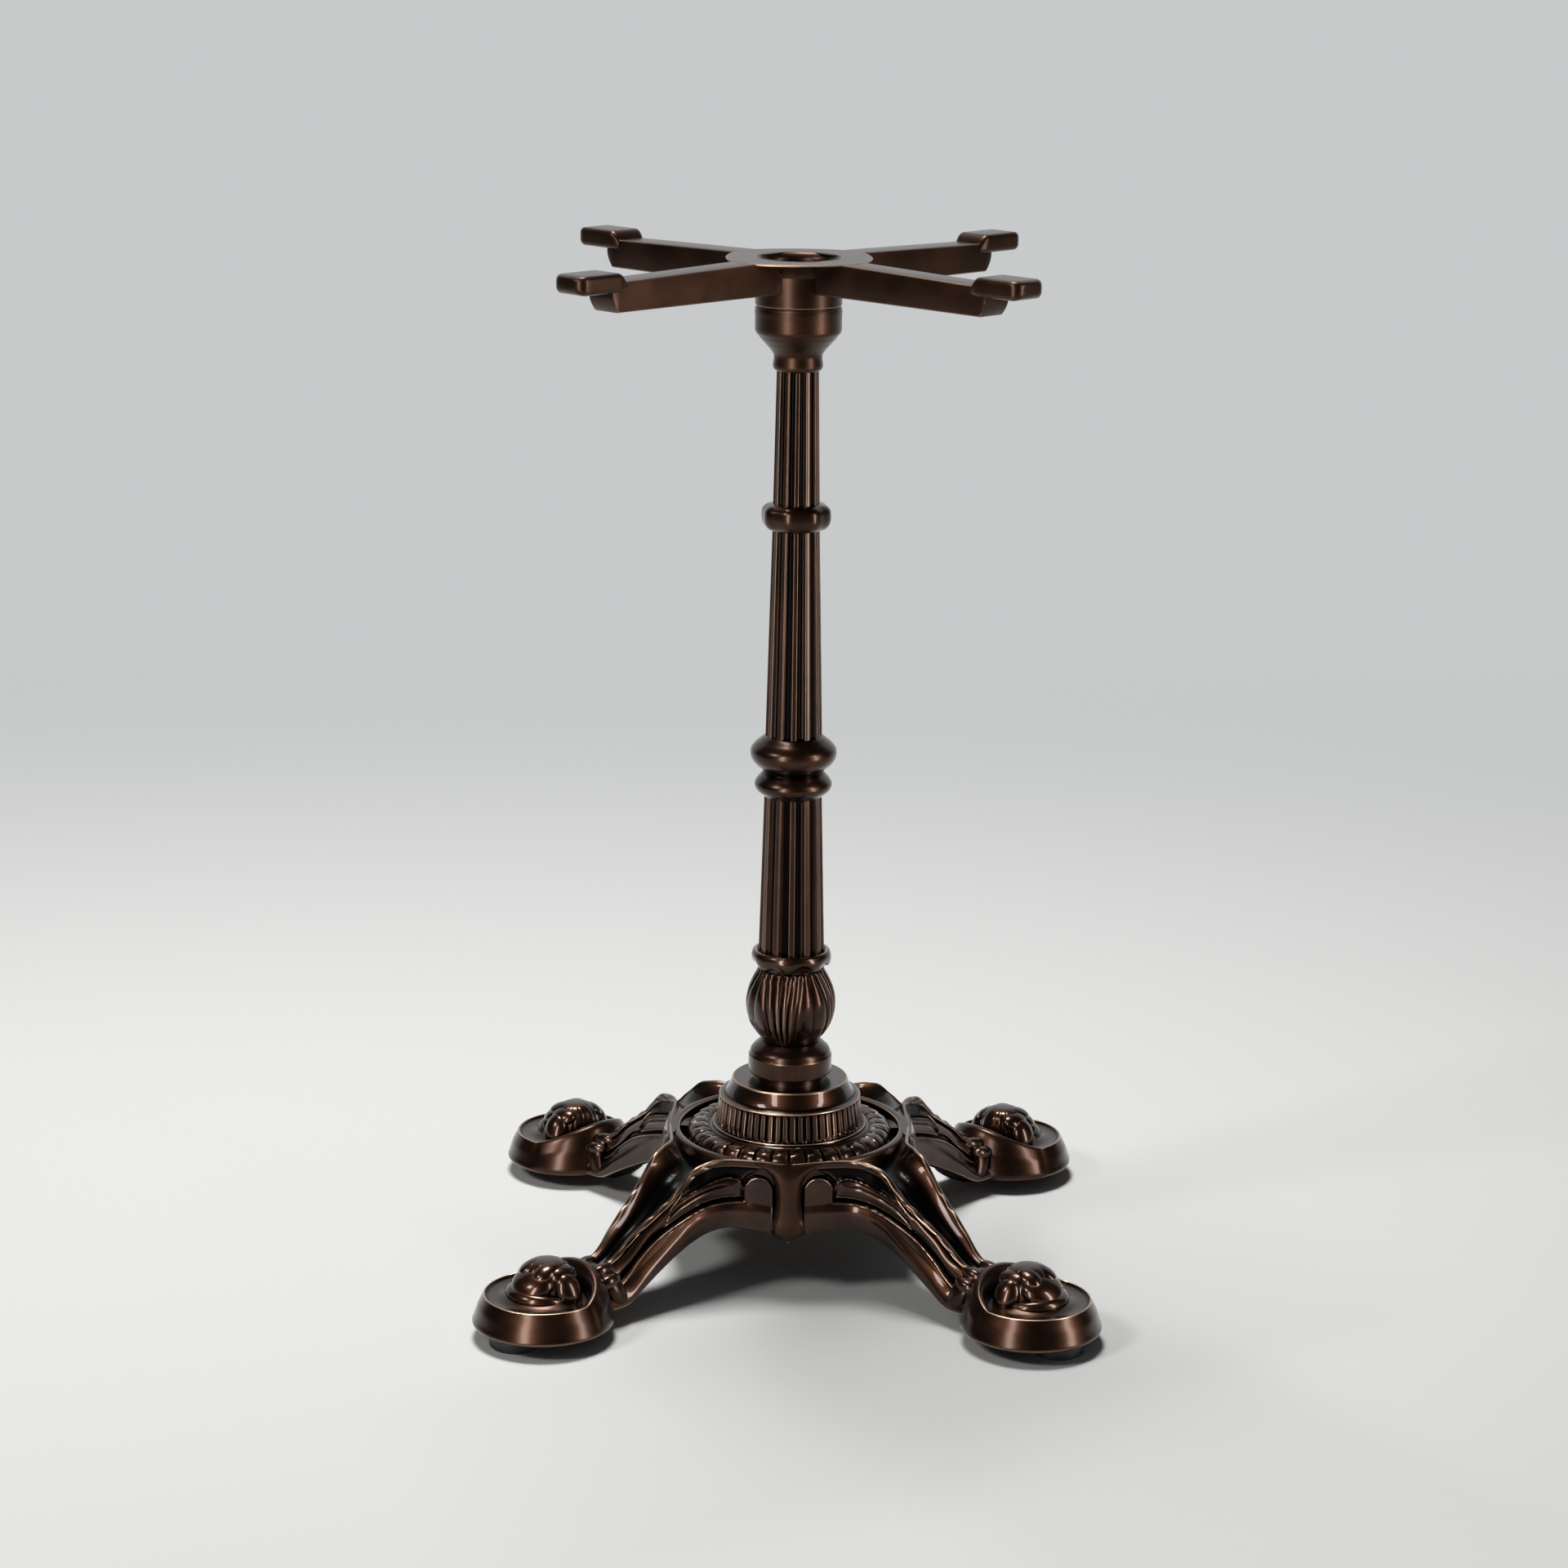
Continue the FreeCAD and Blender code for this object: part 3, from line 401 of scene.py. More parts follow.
# The legs run from the aprons to the feet. Each is an open channel between two ridges, hollow below, with
# a smooth lower band, a leaf panel on a sunk ground and a leafy crest on both sides, cast with the well.
# In the stations, S counts outwards from the column's axis, T across the leg and Z upwards.
LEG_QUARTERS = {"front_right": -45, "back_right": 45, "back_left": 135, "front_left": -135}
LEG_S = (61.0, 76, 90, 103, 116, 130, 145, 160, 175, 196)
BOTTOM_T = (62.9, 45.5, 30.5, 24.2, 22, 21.5, 21.5, 22, 22.6, 22.6)
BOTTOM_Z = (40.5, 46, 48.3, 46, 42, 36.6, 29.4, 21.5, 13.6, 12.6)
RIDGE_T = (61.9, 44.5, 29.8, 24.5, 21.8, 19.4, 16.5, 13.5, 10.8, 9.6)
RIDGE_Z = (95.7, 97.5, 98.2, 97.6, 92.6, 79.4, 68.6, 58.7, 46.3, 35.5)
VALLEY = (12, 13, 14, 15, 15, 13, 12, 10, 7, 3.5)
LEG_WALL = 6.0
BAND_S = (61, 84, 95, 107, 123, 140, 147, 156, 162, 169, 180, 196)
BAND_Z = (69, 68.7, 67.9, 66.2, 61.5, 55.0, 51.3, 45.2, 40.5, 34, 26.8, 24)
PANEL_S = (81.5, 82.6, 84.5, 88, 95, 103, 111.5, 120, 127.7, 134, 138, 140)
PANEL_Z = (67, 78, 83, 85.2, 84.3, 82.2, 79.6, 77.0, 73.7, 67.2, 61.5, 56)
LOBE_REACH, LOBE_HALF, LOBE_TOP, LOBE_FOOT = 21.8, 10.6, 86.4, 54
GROUND_DEPTH = 3.4
GROOVE_DEPTH, THREAD_HEIGHT = 1.0, 0.7
BAND_SWELL, BAND_SWELL_OVER = 1.3, 2.5
ROLL_SHARE, ROLL_MIN, ROLL_MAX = 0.20, 2.0, 5.5
PANEL_RISE, PANEL_SWELL, PANEL_SWELL_OVER = 0.8, 2.2, 6.0
RIB_SHARE, RIB_DEPTH, RIB_START = 0.66, 0.9, 92
PANEL_THREAD = 1.3
LEAF_FROM, LEAF_RISE, LEAF_SWELL = 122, 1.2, 1.8
RIPPLE_HEIGHT, RIPPLE_FROM, RIPPLE_TO = 0.8, 100, 188
CREST_HALF, CREST_DROP, CREST_HEIGHT, CREST_BEADS = 1.9, 1.6, 1.8, 0.5
BAND_BULGE, BAND_BULGE_TO = 1.4, 0.42
LOWER_BEVEL = 1.6
# How far the painted shade lowers the relief of the carving's sunk ground and of the valley.
GROUND_SHADE, VALLEY_SHADE = 0.28, 0.30


def step_up(value, width):
    """0 below zero, 1 above it, with a soft step of the width given."""
    t = np.clip(value / width + 0.5, 0, 1)
    return t * t * (3 - 2 * t)


def line_bump(distance, width):
    """Rounded thread along a line: 1 on it, falling off within the width."""
    return np.exp(-(distance / width)**2)


def leg_relief(s, z, reach):
    """Height of the carving on a leg's outer side, and where its sunk ground gets painted shade. The smooth
    band below turns up into a lobe by the keystone; the field above is sunk and holds the leaf panel and a
    long leaf; grooves and threads follow the outlines. The reach counts from the keystone's middle."""
    band = smooth_through(s, BAND_S, BAND_Z)
    crest = smooth_through(s, LEG_S, RIDGE_Z)
    panel_top = smooth_through(s, PANEL_S, PANEL_Z)
    below_crest = crest - z
    under_lobe = 0.75 * np.maximum(LOBE_FOOT - z, 0) * (reach < LOBE_REACH)
    past = np.maximum(z - LOBE_TOP + LOBE_HALF, 0) + under_lobe
    lobe = LOBE_HALF - np.hypot(reach - LOBE_REACH, past)
    raised = np.maximum(np.where(reach < LOBE_REACH, lobe, band - z), lobe)
    roll = np.clip((crest - band) * ROLL_SHARE, ROLL_MIN, ROLL_MAX)
    under_roll = step_up(below_crest - roll, 2.2)
    sunk = step_up(-raised, 1.4) * under_roll
    carve = -GROUND_DEPTH * sunk - GROOVE_DEPTH * line_bump(raised + 1.5, 1.0) * under_roll
    swell = BAND_SWELL * (1 - np.exp(-np.maximum(raised, 0) / BAND_SWELL_OVER))
    carve += THREAD_HEIGHT * line_bump(raised - 0.7, 0.9) + swell
    ends = np.minimum(s - PANEL_S[0] - 1.0, PANEL_S[-1] - s)
    inside = np.minimum(np.minimum(z - band - 1.6, panel_top - z), ends * 1.2)
    carve += step_up(inside, 1.2) * (PANEL_RISE + PANEL_SWELL * np.clip(inside / PANEL_SWELL_OVER, 0, 1)**0.7)
    rib = z - band - (panel_top - band) * RIB_SHARE
    carve -= RIB_DEPTH * line_bump(rib, 0.9) * step_up(inside - 1.8, 1.6) * step_up(s - RIB_START, 12)
    on_panel = step_up(PANEL_S[-1] + 2 - s, 4) * step_up(s - PANEL_S[0] + 1.5, 2)
    carve += PANEL_THREAD * line_bump(inside - 0.5, 0.8) * on_panel
    near = step_up(s - 138, 14)
    low = panel_top * (1 - near) + (band + 2.0) * near
    middle = (low + crest - roll) / 2 + 0.4 * np.sin(s / 4.5)
    half = np.maximum((crest - roll - low) * 0.36 + 0.35 * np.sin(s / 3.1), 1.0)
    leaf = 1 - ((z - middle) / half)**2
    on_leaf = step_up(s - LEAF_FROM, 14) * step_up(leaf, 0.5)
    carve += on_leaf * (LEAF_RISE + LEAF_SWELL * np.sqrt(np.clip(leaf, 0, 1)))
    on_roll = step_up(below_crest - 0.6, 1.0) * step_up(roll - below_crest, 1.2)
    on_roll = on_roll * step_up(s - RIPPLE_FROM, 10)
    wander = s / 5.6 + below_crest * 0.45 + 0.9 * np.sin(s / 9)
    carve += RIPPLE_HEIGHT * (np.abs(np.sin(wander))**0.6 - 0.7) * on_roll * step_up(RIPPLE_TO - s, 8)
    # Painted shade on the sunk ground, where it is neither panel nor leaf.
    dark = sunk * (1 - step_up(inside - 0.3, 1.0)) * (1 - on_leaf)
    return carve, dark


def leg_rings(rows=160, outside=80, over=7, valley=12, inside=9):
    """Closed sections of the leg on +X: up the outer side with its carving, over the crest, down a
    round-bottomed valley, mirrored, then back along the inner wall; rows lie evenly along the side.
    Also gives the painted shade of the valley and of the carving's ground, which are never rubbed."""
    fine = np.linspace(LEG_S[0], LEG_S[-1], 800)
    t_fine = smooth_through(fine, LEG_S, RIDGE_T)
    path = np.concatenate([[0], np.cumsum(np.hypot(np.diff(fine), np.diff(t_fine)))])
    reach = np.linspace(0, path[-1], rows)
    s = np.interp(reach, path, fine)[:, None]
    low_t, low_z = smooth_through(s, LEG_S, BOTTOM_T), smooth_through(s, LEG_S, BOTTOM_Z)
    top_t, top_z = smooth_through(s, LEG_S, RIDGE_T), smooth_through(s, LEG_S, RIDGE_Z)
    depth = smooth_through(s, LEG_S, VALLEY)
    slope = np.gradient(top_t[:, 0], s[:, 0])[:, None]
    out_s, out_t = -slope / np.hypot(1, slope), 1 / np.hypot(1, slope)

    v = np.linspace(0, 1, outside)[None, :]
    wall_t = low_t + (top_t - low_t) * v
    wall_z = low_z + (top_z - CREST_DROP - low_z) * v
    bulge = BAND_BULGE * np.sin(math.pi * np.clip(v / BAND_BULGE_TO, 0, 1))
    bulge -= LOWER_BEVEL * (1 - step_up(v - 0.012, 0.03))
    carve, ground_shade = leg_relief(s, wall_z, reach[:, None])
    push = carve + bulge
    side = np.stack([s + out_s * push, wall_t + out_t * push, wall_z + 0 * s], axis=-1)

    a = np.linspace(0, math.pi, over + 2)[None, 1:-1]
    bead = CREST_BEADS * np.sin(s / 2.4 + 1.5 * np.sin(s / 11))
    bead = bead * step_up(s - 108, 12) * step_up(RIPPLE_TO - s, 10)
    crest_t = top_t - CREST_HALF + CREST_HALF * np.cos(a)
    crest_z = top_z - CREST_DROP + (CREST_HEIGHT + bead) * np.sin(a)
    crest = np.stack([s + 0 * a, crest_t, crest_z], axis=-1)

    w = np.linspace(0, 1, valley + 1)[None, :-1]
    rim_t = top_t - 2 * CREST_HALF
    fall = 1 - (1 - w)**2.2
    floor_z = top_z - CREST_DROP - (depth - CREST_DROP) * fall
    channel = np.stack([s + 0 * w, rim_t * (1 - w), floor_z], axis=-1)

    half = np.concatenate([side, crest, channel], axis=1)
    mirror = half[:, ::-1] * np.array([1, -1, 1])
    bottom = np.stack([s, 0 * s, top_z - depth], axis=-1)
    outer = np.concatenate([half, bottom, mirror], axis=1)

    share = np.linspace(0, 1, inside)[None, :]
    roof = top_z - depth - LEG_WALL
    in_low, in_top = np.maximum(low_t - LEG_WALL, 3), np.maximum(top_t - LEG_WALL, 2)
    bow = np.clip(share * 2, 0, 1)
    up = np.clip(share * 2 - 1, 0, 1)
    in_z = low_z + 0.2 + (np.maximum(roof, low_z + 1.5) - low_z) * bow**0.8
    in_t = (in_low + (in_top - in_low) * bow) * (1 - up)
    under = np.stack([s + 0 * share, in_t, in_z], axis=-1)
    under_left = under[:, :-1] * np.array([1, -1, 1])
    rings = np.concatenate([outer, under_left, under[:, ::-1]], axis=1)
    # Painted shade: the valley and the carving's sunk ground are darkened through their relief.
    shade = np.zeros(rings.shape[:2])
    middle = outside + over + valley
    side_end = 2 * middle + 1
    shade[:, :outside] = -GROUND_SHADE * ground_shade
    shade[:, side_end - outside:side_end] = -GROUND_SHADE * ground_shade[:, ::-1]
    dark = -VALLEY_SHADE * np.clip(fall * 1.4 - 0.1, 0, 1)
    shade[:, outside + over:middle] = dark
    shade[:, middle] = -VALLEY_SHADE
    shade[:, middle + 1:middle + 1 + valley] = dark[:, ::-1]
    return rings, shade


def about_column(rings, degrees):
    """Grid turned about the column's axis."""
    a = math.radians(degrees)
    turn = np.array([[math.cos(a), math.sin(a), 0], [-math.sin(a), math.cos(a), 0], [0, 0, 1]])
    return rings @ turn


leg, leg_shade = leg_rings()
for quarter, degrees in LEG_QUARTERS.items():
    cast_piece("leg_" + quarter, [(about_column(leg, degrees), False)], bronze_carved, "base_casting",
               sharp=60, shade=leg_shade)

# Keystones stand in the middle of the four aprons: a smooth waisted column that flares into the rim
# above it and ends in a point below. They are part of the same casting.
KEY_REACH = 87.3
KEY_Z = (38.5, 41, 45, 50, 57, 66, 76, 84, 90, 94, 95.9)
KEY_HALF = (0.8, 5.5, 11.2, 12.6, 10.8, 9.4, 9.4, 10.8, 14.5, 20, 24.0)
KEY_PROUD = (0.8, 3.0, 4.8, 5.4, 5.2, 5.0, 4.8, 4.2, 3.0, 1.4, 0.2)
KEY_SET_IN, KEY_ROOT = 1.5, 6.0


def keystone_rings(rows=60, count=48):
    """Upright stack of lens-shaped rings: half the width, and how far it stands proud of the apron, both
    follow the height; the back is rooted in the apron."""
    z = np.linspace(KEY_Z[0], KEY_Z[-1], rows)[:, None]
    half = smooth_through(z, KEY_Z, KEY_HALF)
    proud = smooth_through(z, KEY_Z, KEY_PROUD)
    a = np.linspace(0, 2 * math.pi, count, endpoint=False)[None, :]
    front = np.cos(a)
    depth = np.where(front > 0, proud + KEY_SET_IN, KEY_ROOT)
    x = KEY_REACH - KEY_SET_IN + depth * np.sign(front) * np.abs(front)**0.85
    y = half * np.sign(np.sin(a)) * np.abs(np.sin(a))**0.9
    return np.stack([x, y, z + 0 * a], axis=-1)


keystone = keystone_rings()
for index, name in enumerate(("right", "back", "left", "front")):
    cast_piece("keystone_" + name, [(about_column(keystone, 90 * index), False)], bronze, "base_casting")

# The feet are flat turned buns whose rim rises into a shoulder round the leg's end. On each lies a
# closed bud of folded leaves. A rounded cuff joins the foot to the leg, all of the same casting.
FOOT_REACH = 234.8
FOOT_R = 48.6
FOOT_LIFT = 9.8
FOOT_RIM_R, FOOT_RIM_Z = 40.3, 31.4
SHOULDER_RISE = 14.6
SHOULDER_DRAW = 6.8
SHOULDER_DEGREES = 85
SHOULDER_THICK = 4.2
RIM_THICK = 0.9
TOP_DRAW = 0.22
RECESS_R, RECESS_Z = 40, 14.7
BELLY_IN, BELLY_Z = 1.1, 15.2
RIDGE_OUT = 0.9
CUFF_START, CUFF_LONG, CUFF_LEAN = 173.0, 16.0, 0.38
CUFF_BOTTOM, CUFF_TOP, CUFF_FALL = 12.4, 37.0, 3.0
CUFF_HALF, CUFF_SWELL, CUFF_NARROW = 22.8, 3.6, 6.5


def bun_rings(count=144):
    """Rows of (radius, height) round the foot's axis, from the recess below over the belly and the rim to
    the top; near the leg the rim rises, draws in and thickens with the cosine of the angle from it. The
    rows between the stations are straight, then softened."""
    a = np.linspace(0, 2 * math.pi, count, endpoint=False)
    off = np.abs(a - math.pi)
    share = np.cos(np.clip(off * 90 / SHOULDER_DEGREES, 0, math.pi / 2))
    rim_r = FOOT_RIM_R - SHOULDER_DRAW * share**0.8
    rim_z = FOOT_RIM_Z + SHOULDER_RISE * share**1.3
    thick = RIM_THICK + SHOULDER_THICK * share
    fold = RIDGE_OUT * step_up(math.radians(78) - off, math.radians(7))
    draw = 1 - TOP_DRAW * share
    flat = np.ones(count)
    stations = np.array([
        (0.5 * flat, RECESS_Z * flat), (RECESS_R * flat, RECESS_Z * flat),
        ((RECESS_R + 0.5) * flat, FOOT_LIFT * flat), (46.6 * flat, FOOT_LIFT * flat),
        ((FOOT_R - 0.2) * flat, 11.1 * flat), (FOOT_R * flat, 12.9 * flat),
        (FOOT_R - BELLY_IN + fold, BELLY_Z * flat),
        ((FOOT_R - BELLY_IN + rim_r + thick) / 2 + 0.5 + fold, (BELLY_Z + rim_z) / 2),
        (rim_r + thick + fold * 0.6, rim_z - 0.8 * thick - 0.4), (rim_r + 0.5 * thick, rim_z),
        (rim_r - 0.5 * thick, rim_z), (rim_r - thick, rim_z - 0.9 * thick),
        (rim_r - thick - 1.4 - 3 * share, 29.6 * flat), (31 * draw, 29.0 * flat), (27 * draw, 30.6 * flat),
        (22 * draw, 33.0 * flat), (17 * draw, 34.0 * flat), (0.5 * flat, 34.4 * flat)])
    counts = (3, 2, 3, 3, 3, 3, 10, 10, 4, 3, 4, 8, 4, 3, 3, 3, 3)
    parts = [low + (high - low) * np.linspace(0, 1, n, endpoint=False)[:, None, None]
             for low, high, n in zip(stations[:-1], stations[1:], counts)]
    rows = np.concatenate(parts + [stations[-1:]])
    for _ in range(3):
        rows[1:-1] = (rows[2:] + 2 * rows[1:-1] + rows[:-2]) / 4
    return np.stack([FOOT_REACH + rows[:, 0] * np.cos(a), rows[:, 0] * np.sin(a), rows[:, 1]], axis=-1)


def cuff_rings(rows=21, count=64):
    """Rounded band round the leg's end: a flattened ring, narrower above, that swells in its middle and
    leans with the foot."""
    along = np.linspace(0, 1, rows)[:, None]
    a = np.linspace(0, 2 * math.pi, count, endpoint=False)[None, :]
    swell = CUFF_SWELL * np.sin(math.pi * along)**0.5
    top = CUFF_TOP - CUFF_FALL * along
    half_y = CUFF_HALF + swell - CUFF_NARROW * step_up(np.sin(a), 1.6)
    half_z = (top - CUFF_BOTTOM) / 2 + swell
    y = half_y * np.sign(np.cos(a)) * np.abs(np.cos(a))**0.7
    z = (top + CUFF_BOTTOM) / 2 + half_z * np.sign(np.sin(a)) * np.abs(np.sin(a))**0.7
    x = CUFF_START + CUFF_LONG * along + CUFF_LEAN * (z - 12)
    return np.stack([x + 0 * a, y, z + 0 * along], axis=-1)[:, ::-1]


def lump_rings(centre, radii, slant=(0.0, 0.0), rows=26, count=40, power=0.8, streaks=0.0):
    """Rounded lump on the foot: an ellipsoid in rings from pole to pole, fuller for a lower power, slanted
    with the height, with fine streaks from its top if asked; the centre counts from the foot's axis."""
    lean = np.linspace(-math.pi / 2 + 0.03, math.pi / 2 - 0.03, rows)[:, None]
    a = np.linspace(0, 2 * math.pi, count, endpoint=False)[None, :]
    streak = streaks * np.sin(22 * a + 3 * np.sin(3 * a))
    width = np.cos(lean)**power * (1 + streak * step_up(lean - 0.2, 0.5))
    z = radii[2] * np.sin(lean) + 0 * a
    x = FOOT_REACH + centre[0] + radii[0] * width * np.cos(a) + slant[0] * z
    y = centre[1] + radii[1] * width * np.sin(a) + slant[1] * z
    return np.stack([x, y, centre[2] + z], axis=-1)


def tube_rings(path, radius, count=24):
    """Tube along a path: a ring of the radius of that place across it at each point."""
    ahead_way = np.gradient(path, axis=0)
    ahead_way /= np.linalg.norm(ahead_way, axis=1, keepdims=True)
    aside = np.cross([0.0, 0.0, 1.0], ahead_way)
    aside /= np.linalg.norm(aside, axis=1, keepdims=True)
    lift = np.cross(ahead_way, aside)
    a = np.linspace(0, 2 * math.pi, count, endpoint=False)[None, :, None]
    return path[:, None] + radius[:, None, None] * (np.cos(a) * aside[:, None] + np.sin(a) * lift[:, None])


def fold_rings(rows=44):
    """Rolled leaf under the bud's outward end: a crescent that thins out at both ends."""
    a = np.linspace(-1.35, 1.35, rows)
    radius = 5.6 * np.sqrt(np.clip(1 - (a / 1.4)**2, 0, 1)) + 0.2
    path = np.column_stack([FOOT_REACH - 1 + 21.5 * np.cos(a), 22.0 * np.sin(a), 31.8 + 0 * a])
    return tube_rings(path, radius)


def bud_grids():
    """Bud of folded leaves: a streaked dome, a rolled leaf under it, a broad leaf that droops outwards,
    and on each side a brow, a low side leaf and one above it; blunt knobs end the leg's ridges."""
    dome = lump_rings((-3, 0, 33.5), (18.5, 19.2, 20.8), (-0.05, 0), 44, 132, 0.60, 0.014)
    droop = lump_rings((8.5, 0, 40), (13.0, 17.0, 9.5), (-0.55, 0), power=0.75)
    grids = [dome, fold_rings(), droop]
    for side in (-1, 1):
        grids.append(lump_rings((3, 6.8 * side, 48.6), (9.5, 7.6, 5.4), (-0.8, -0.3 * side)))
        grids.append(lump_rings((-5, 19.5 * side, 36.0), (10, 8.5, 12.5), (0.05, -0.26 * side), power=0.9))
        grids.append(lump_rings((-6, 12.5 * side, 46), (11, 7.5, 6), (0, -0.45 * side)))
        grids.append(lump_rings((-46, 8.5 * side, 36.8), (9.5, 5.0, 5.0), (-0.4, 0), 20, 30))
        grids.append(lump_rings((-45, 16.5 * side, 31.5), (9.0, 5.4, 5.0), (-0.4, 0), 20, 30))
    return grids


foot_grids = (bun_rings(), cuff_rings())
bud = bud_grids()
for quarter, degrees in LEG_QUARTERS.items():
    cast_piece("foot_" + quarter, [(about_column(grid, degrees), False) for grid in foot_grids],
               bronze, "base_casting")
    cast_piece("bud_" + quarter, [(about_column(grid, degrees), False) for grid in bud],
               bronze_carved, "base_casting")

# The collar is a second casting that stands in the well, with a dark gap round it. It has a drum, a lip,
# a reeded band, two fillets and an outer bead cut into blocks.
REED_COUNT, REED_DEPTH = 60, 2.2
BLOCK_COUNT, BLOCK_DEPTH = 36, 2.8
BAND_BOTTOM, BAND_TOP = 99.9, 118.4
BEAD_IN, BEAD_BOTTOM = 58.8, 86.5
HIDDEN_R = 35
COLLAR_OUTLINE = (
    (7, 84, 0), (70, 84, 0.5), (73.3, 84.8, 0.8), (73.3, 91, 3), (69.5, 96.5, 3.4), (61, 97.7, 3.4),
    (57.6, 95.6, 0.8), (56.6, 96.8, 0.6), (55.2, 97.6, 0.4), (54.9, 99.1, 0.3), (52.9, 99.3, 0.3),
    (50.2, 118.7, 0.3), (50.6, 119.6, 0.5), (49.6, 120.4, 0.5), (46.4, 120.9, 1.2), (44.2, 124.0, 2.0),
    (41.9, 129.2, 2.0), (41.2, 131.6, 0.5), (40.4, 132.2, 0.4), (7, 132.2, 0))


def collar_swell(angle, radius, height):
    """Reeds on the steep band and blocks on the outer bead: both are waves of the angle."""
    drift = 0.25 * np.sin(angle * 7) * np.sin(angle * 11)
    reed_phase = np.abs(np.sin(angle * REED_COUNT / 2 + drift))
    band = step_up(height - BAND_BOTTOM, 0.8) * step_up(BAND_TOP - height, 0.8)
    radius = radius - REED_DEPTH * band * (1 - step_up(reed_phase - 0.45 - 0.12 * np.sin(angle * 13), 0.4))
    on_bead = step_up(radius - BEAD_IN, 1.6) * step_up(height - BEAD_BOTTOM, 2)
    block_phase = np.abs(np.sin(angle * BLOCK_COUNT / 2))
    sink = BLOCK_DEPTH * on_bead * (1 - step_up(block_phase - 0.17, 0.26)) - 0.5 * on_bead * block_phase**2
    scroll = 0.25 * on_bead * np.sin(angle * BLOCK_COUNT + (radius - 66) * 0.9) * np.sin(angle * 5)
    return radius - sink * 0.6, height - sink * 0.8 + scroll


def collar_rings(count=600):
    """Collar turned from its outline, with fewer points on the faces inside it that nobody sees."""
    outline = divided(rounded(COLLAR_OUTLINE, 4), 1.6)
    keep = np.concatenate([[True], np.linalg.norm(np.diff(outline, axis=0), axis=1) > 0.02])
    outline = outline[keep]
    hidden = outline[:, 0] < HIDDEN_R
    thin = hidden & (np.arange(len(outline)) % 8 != 0)
    thin[[0, -1]] = False
    return turned(outline[~thin], count, collar_swell)


cast_piece("collar", [(collar_rings(), False)], bronze_carved, "plinth_collar")

# The column is one casting: a drum and cushion, a leafy bulb, a scalloped collar, fluted shafts
# between turned rings, and a capital. It stands on the collar and is held by the rod inside it.
LEAVES = 4
VEINS = 24
LEAF_START = math.radians(-103)
SCALLOPS = 8
FLUTES = 12
FOOT_PROFILE = (
    (7, 132.3, 0), (25, 132.3, 0), (25, 136.7, 0.5), (29.2, 136.9, 0.6), (29.7, 137.8, 0.6),
    (29.7, 149.4, 0.7), (28.9, 150.8, 1.2), (28.1, 153.7, 2), (24.5, 157.3, 2.5), (20.9, 160.2, 1.5))
BULB_Z = (160.8, 162.9, 166.5, 170.2, 173.9, 177.5, 181.2, 184.9, 188.5, 192.2, 195.8, 199.5, 203.1,
          206.8, 210.4, 213.6)
BULB_R = (20.6, 21.8, 24.9, 27.2, 29.1, 30.3, 31.1, 31.5, 31.6, 31.3, 30.6, 29.5, 28, 26.3, 24.3, 23.2)
VEIN_DEPTH = 2.4
SCALLOP_PROFILE = (
    (22.0, 212.6, 0), (23.0, 215.6, 1.2), (24.4, 217.2, 0.4), (26.6, 217.4, 0.5), (28.0, 220.2, 1.2),
    (28.4, 223.2, 1.6), (27.4, 226.6, 1.8), (25.4, 227.8, 1.4), (23.8, 226.4, 1.0), (22.0, 225.8, 0))


def bulb_swell(angle, radius, height):
    """Flowing veins: the wave's angle is pulled together at the leaf tips below, where the veins are deep,
    and spread between them into smooth lobes."""
    share = np.clip((height - BULB_Z[0]) / (BULB_Z[-1] - BULB_Z[0]), 0, 1)
    around = LEAVES * (angle - LEAF_START)
    pull = 5.4 * (1 - share**2) - 1.2 * share**2
    phase = VEINS * (angle - LEAF_START) + pull * np.sin(around)
    ridge = np.abs(np.sin(phase / 2))**0.8
    fade = step_up(share - 0.14 + 0.05 * np.cos(around), 0.16) * step_up(0.99 - share, 0.06)
    depth = VEIN_DEPTH * (0.72 + 0.28 * np.cos(around) * (1 - share))
    return radius + fade * depth * (ridge - 0.8) - 0.5 * np.cos(around) * fade * (1 - share), height


def scallop_swell(angle, radius, height):
    """The lower edge of the lip hangs in shallow scallops."""
    on_edge = step_up(radius - 23.4, 1.6) * step_up(222.0 - height, 9.0)
    wave = np.cos(SCALLOPS * angle + 0.8) + 0.35 * np.sin(3 * angle + 1.0)
    return radius + on_edge * 0.3 * wave, height - on_edge * 1.0 * wave


foot_profile = divided(rounded(FOOT_PROFILE, 5), 2.0)
bulb_z = np.linspace(BULB_Z[0], BULB_Z[-1], 70)
bulb_profile = np.column_stack([smooth_through(bulb_z, BULB_Z, BULB_R), bulb_z])
scallop_profile = divided(rounded(SCALLOP_PROFILE, 5), 0.9)
cast_piece("column_foot", [(turned(foot_profile, ROUND_COUNT), False)], bronze, "column")
cast_piece("column_bulb", [(turned(bulb_profile, 480, bulb_swell), False)], bronze_fine, "column", sharp=80)
cast_piece("column_scallop", [(turned(scallop_profile, 216, scallop_swell), False)], bronze_carved, "column")

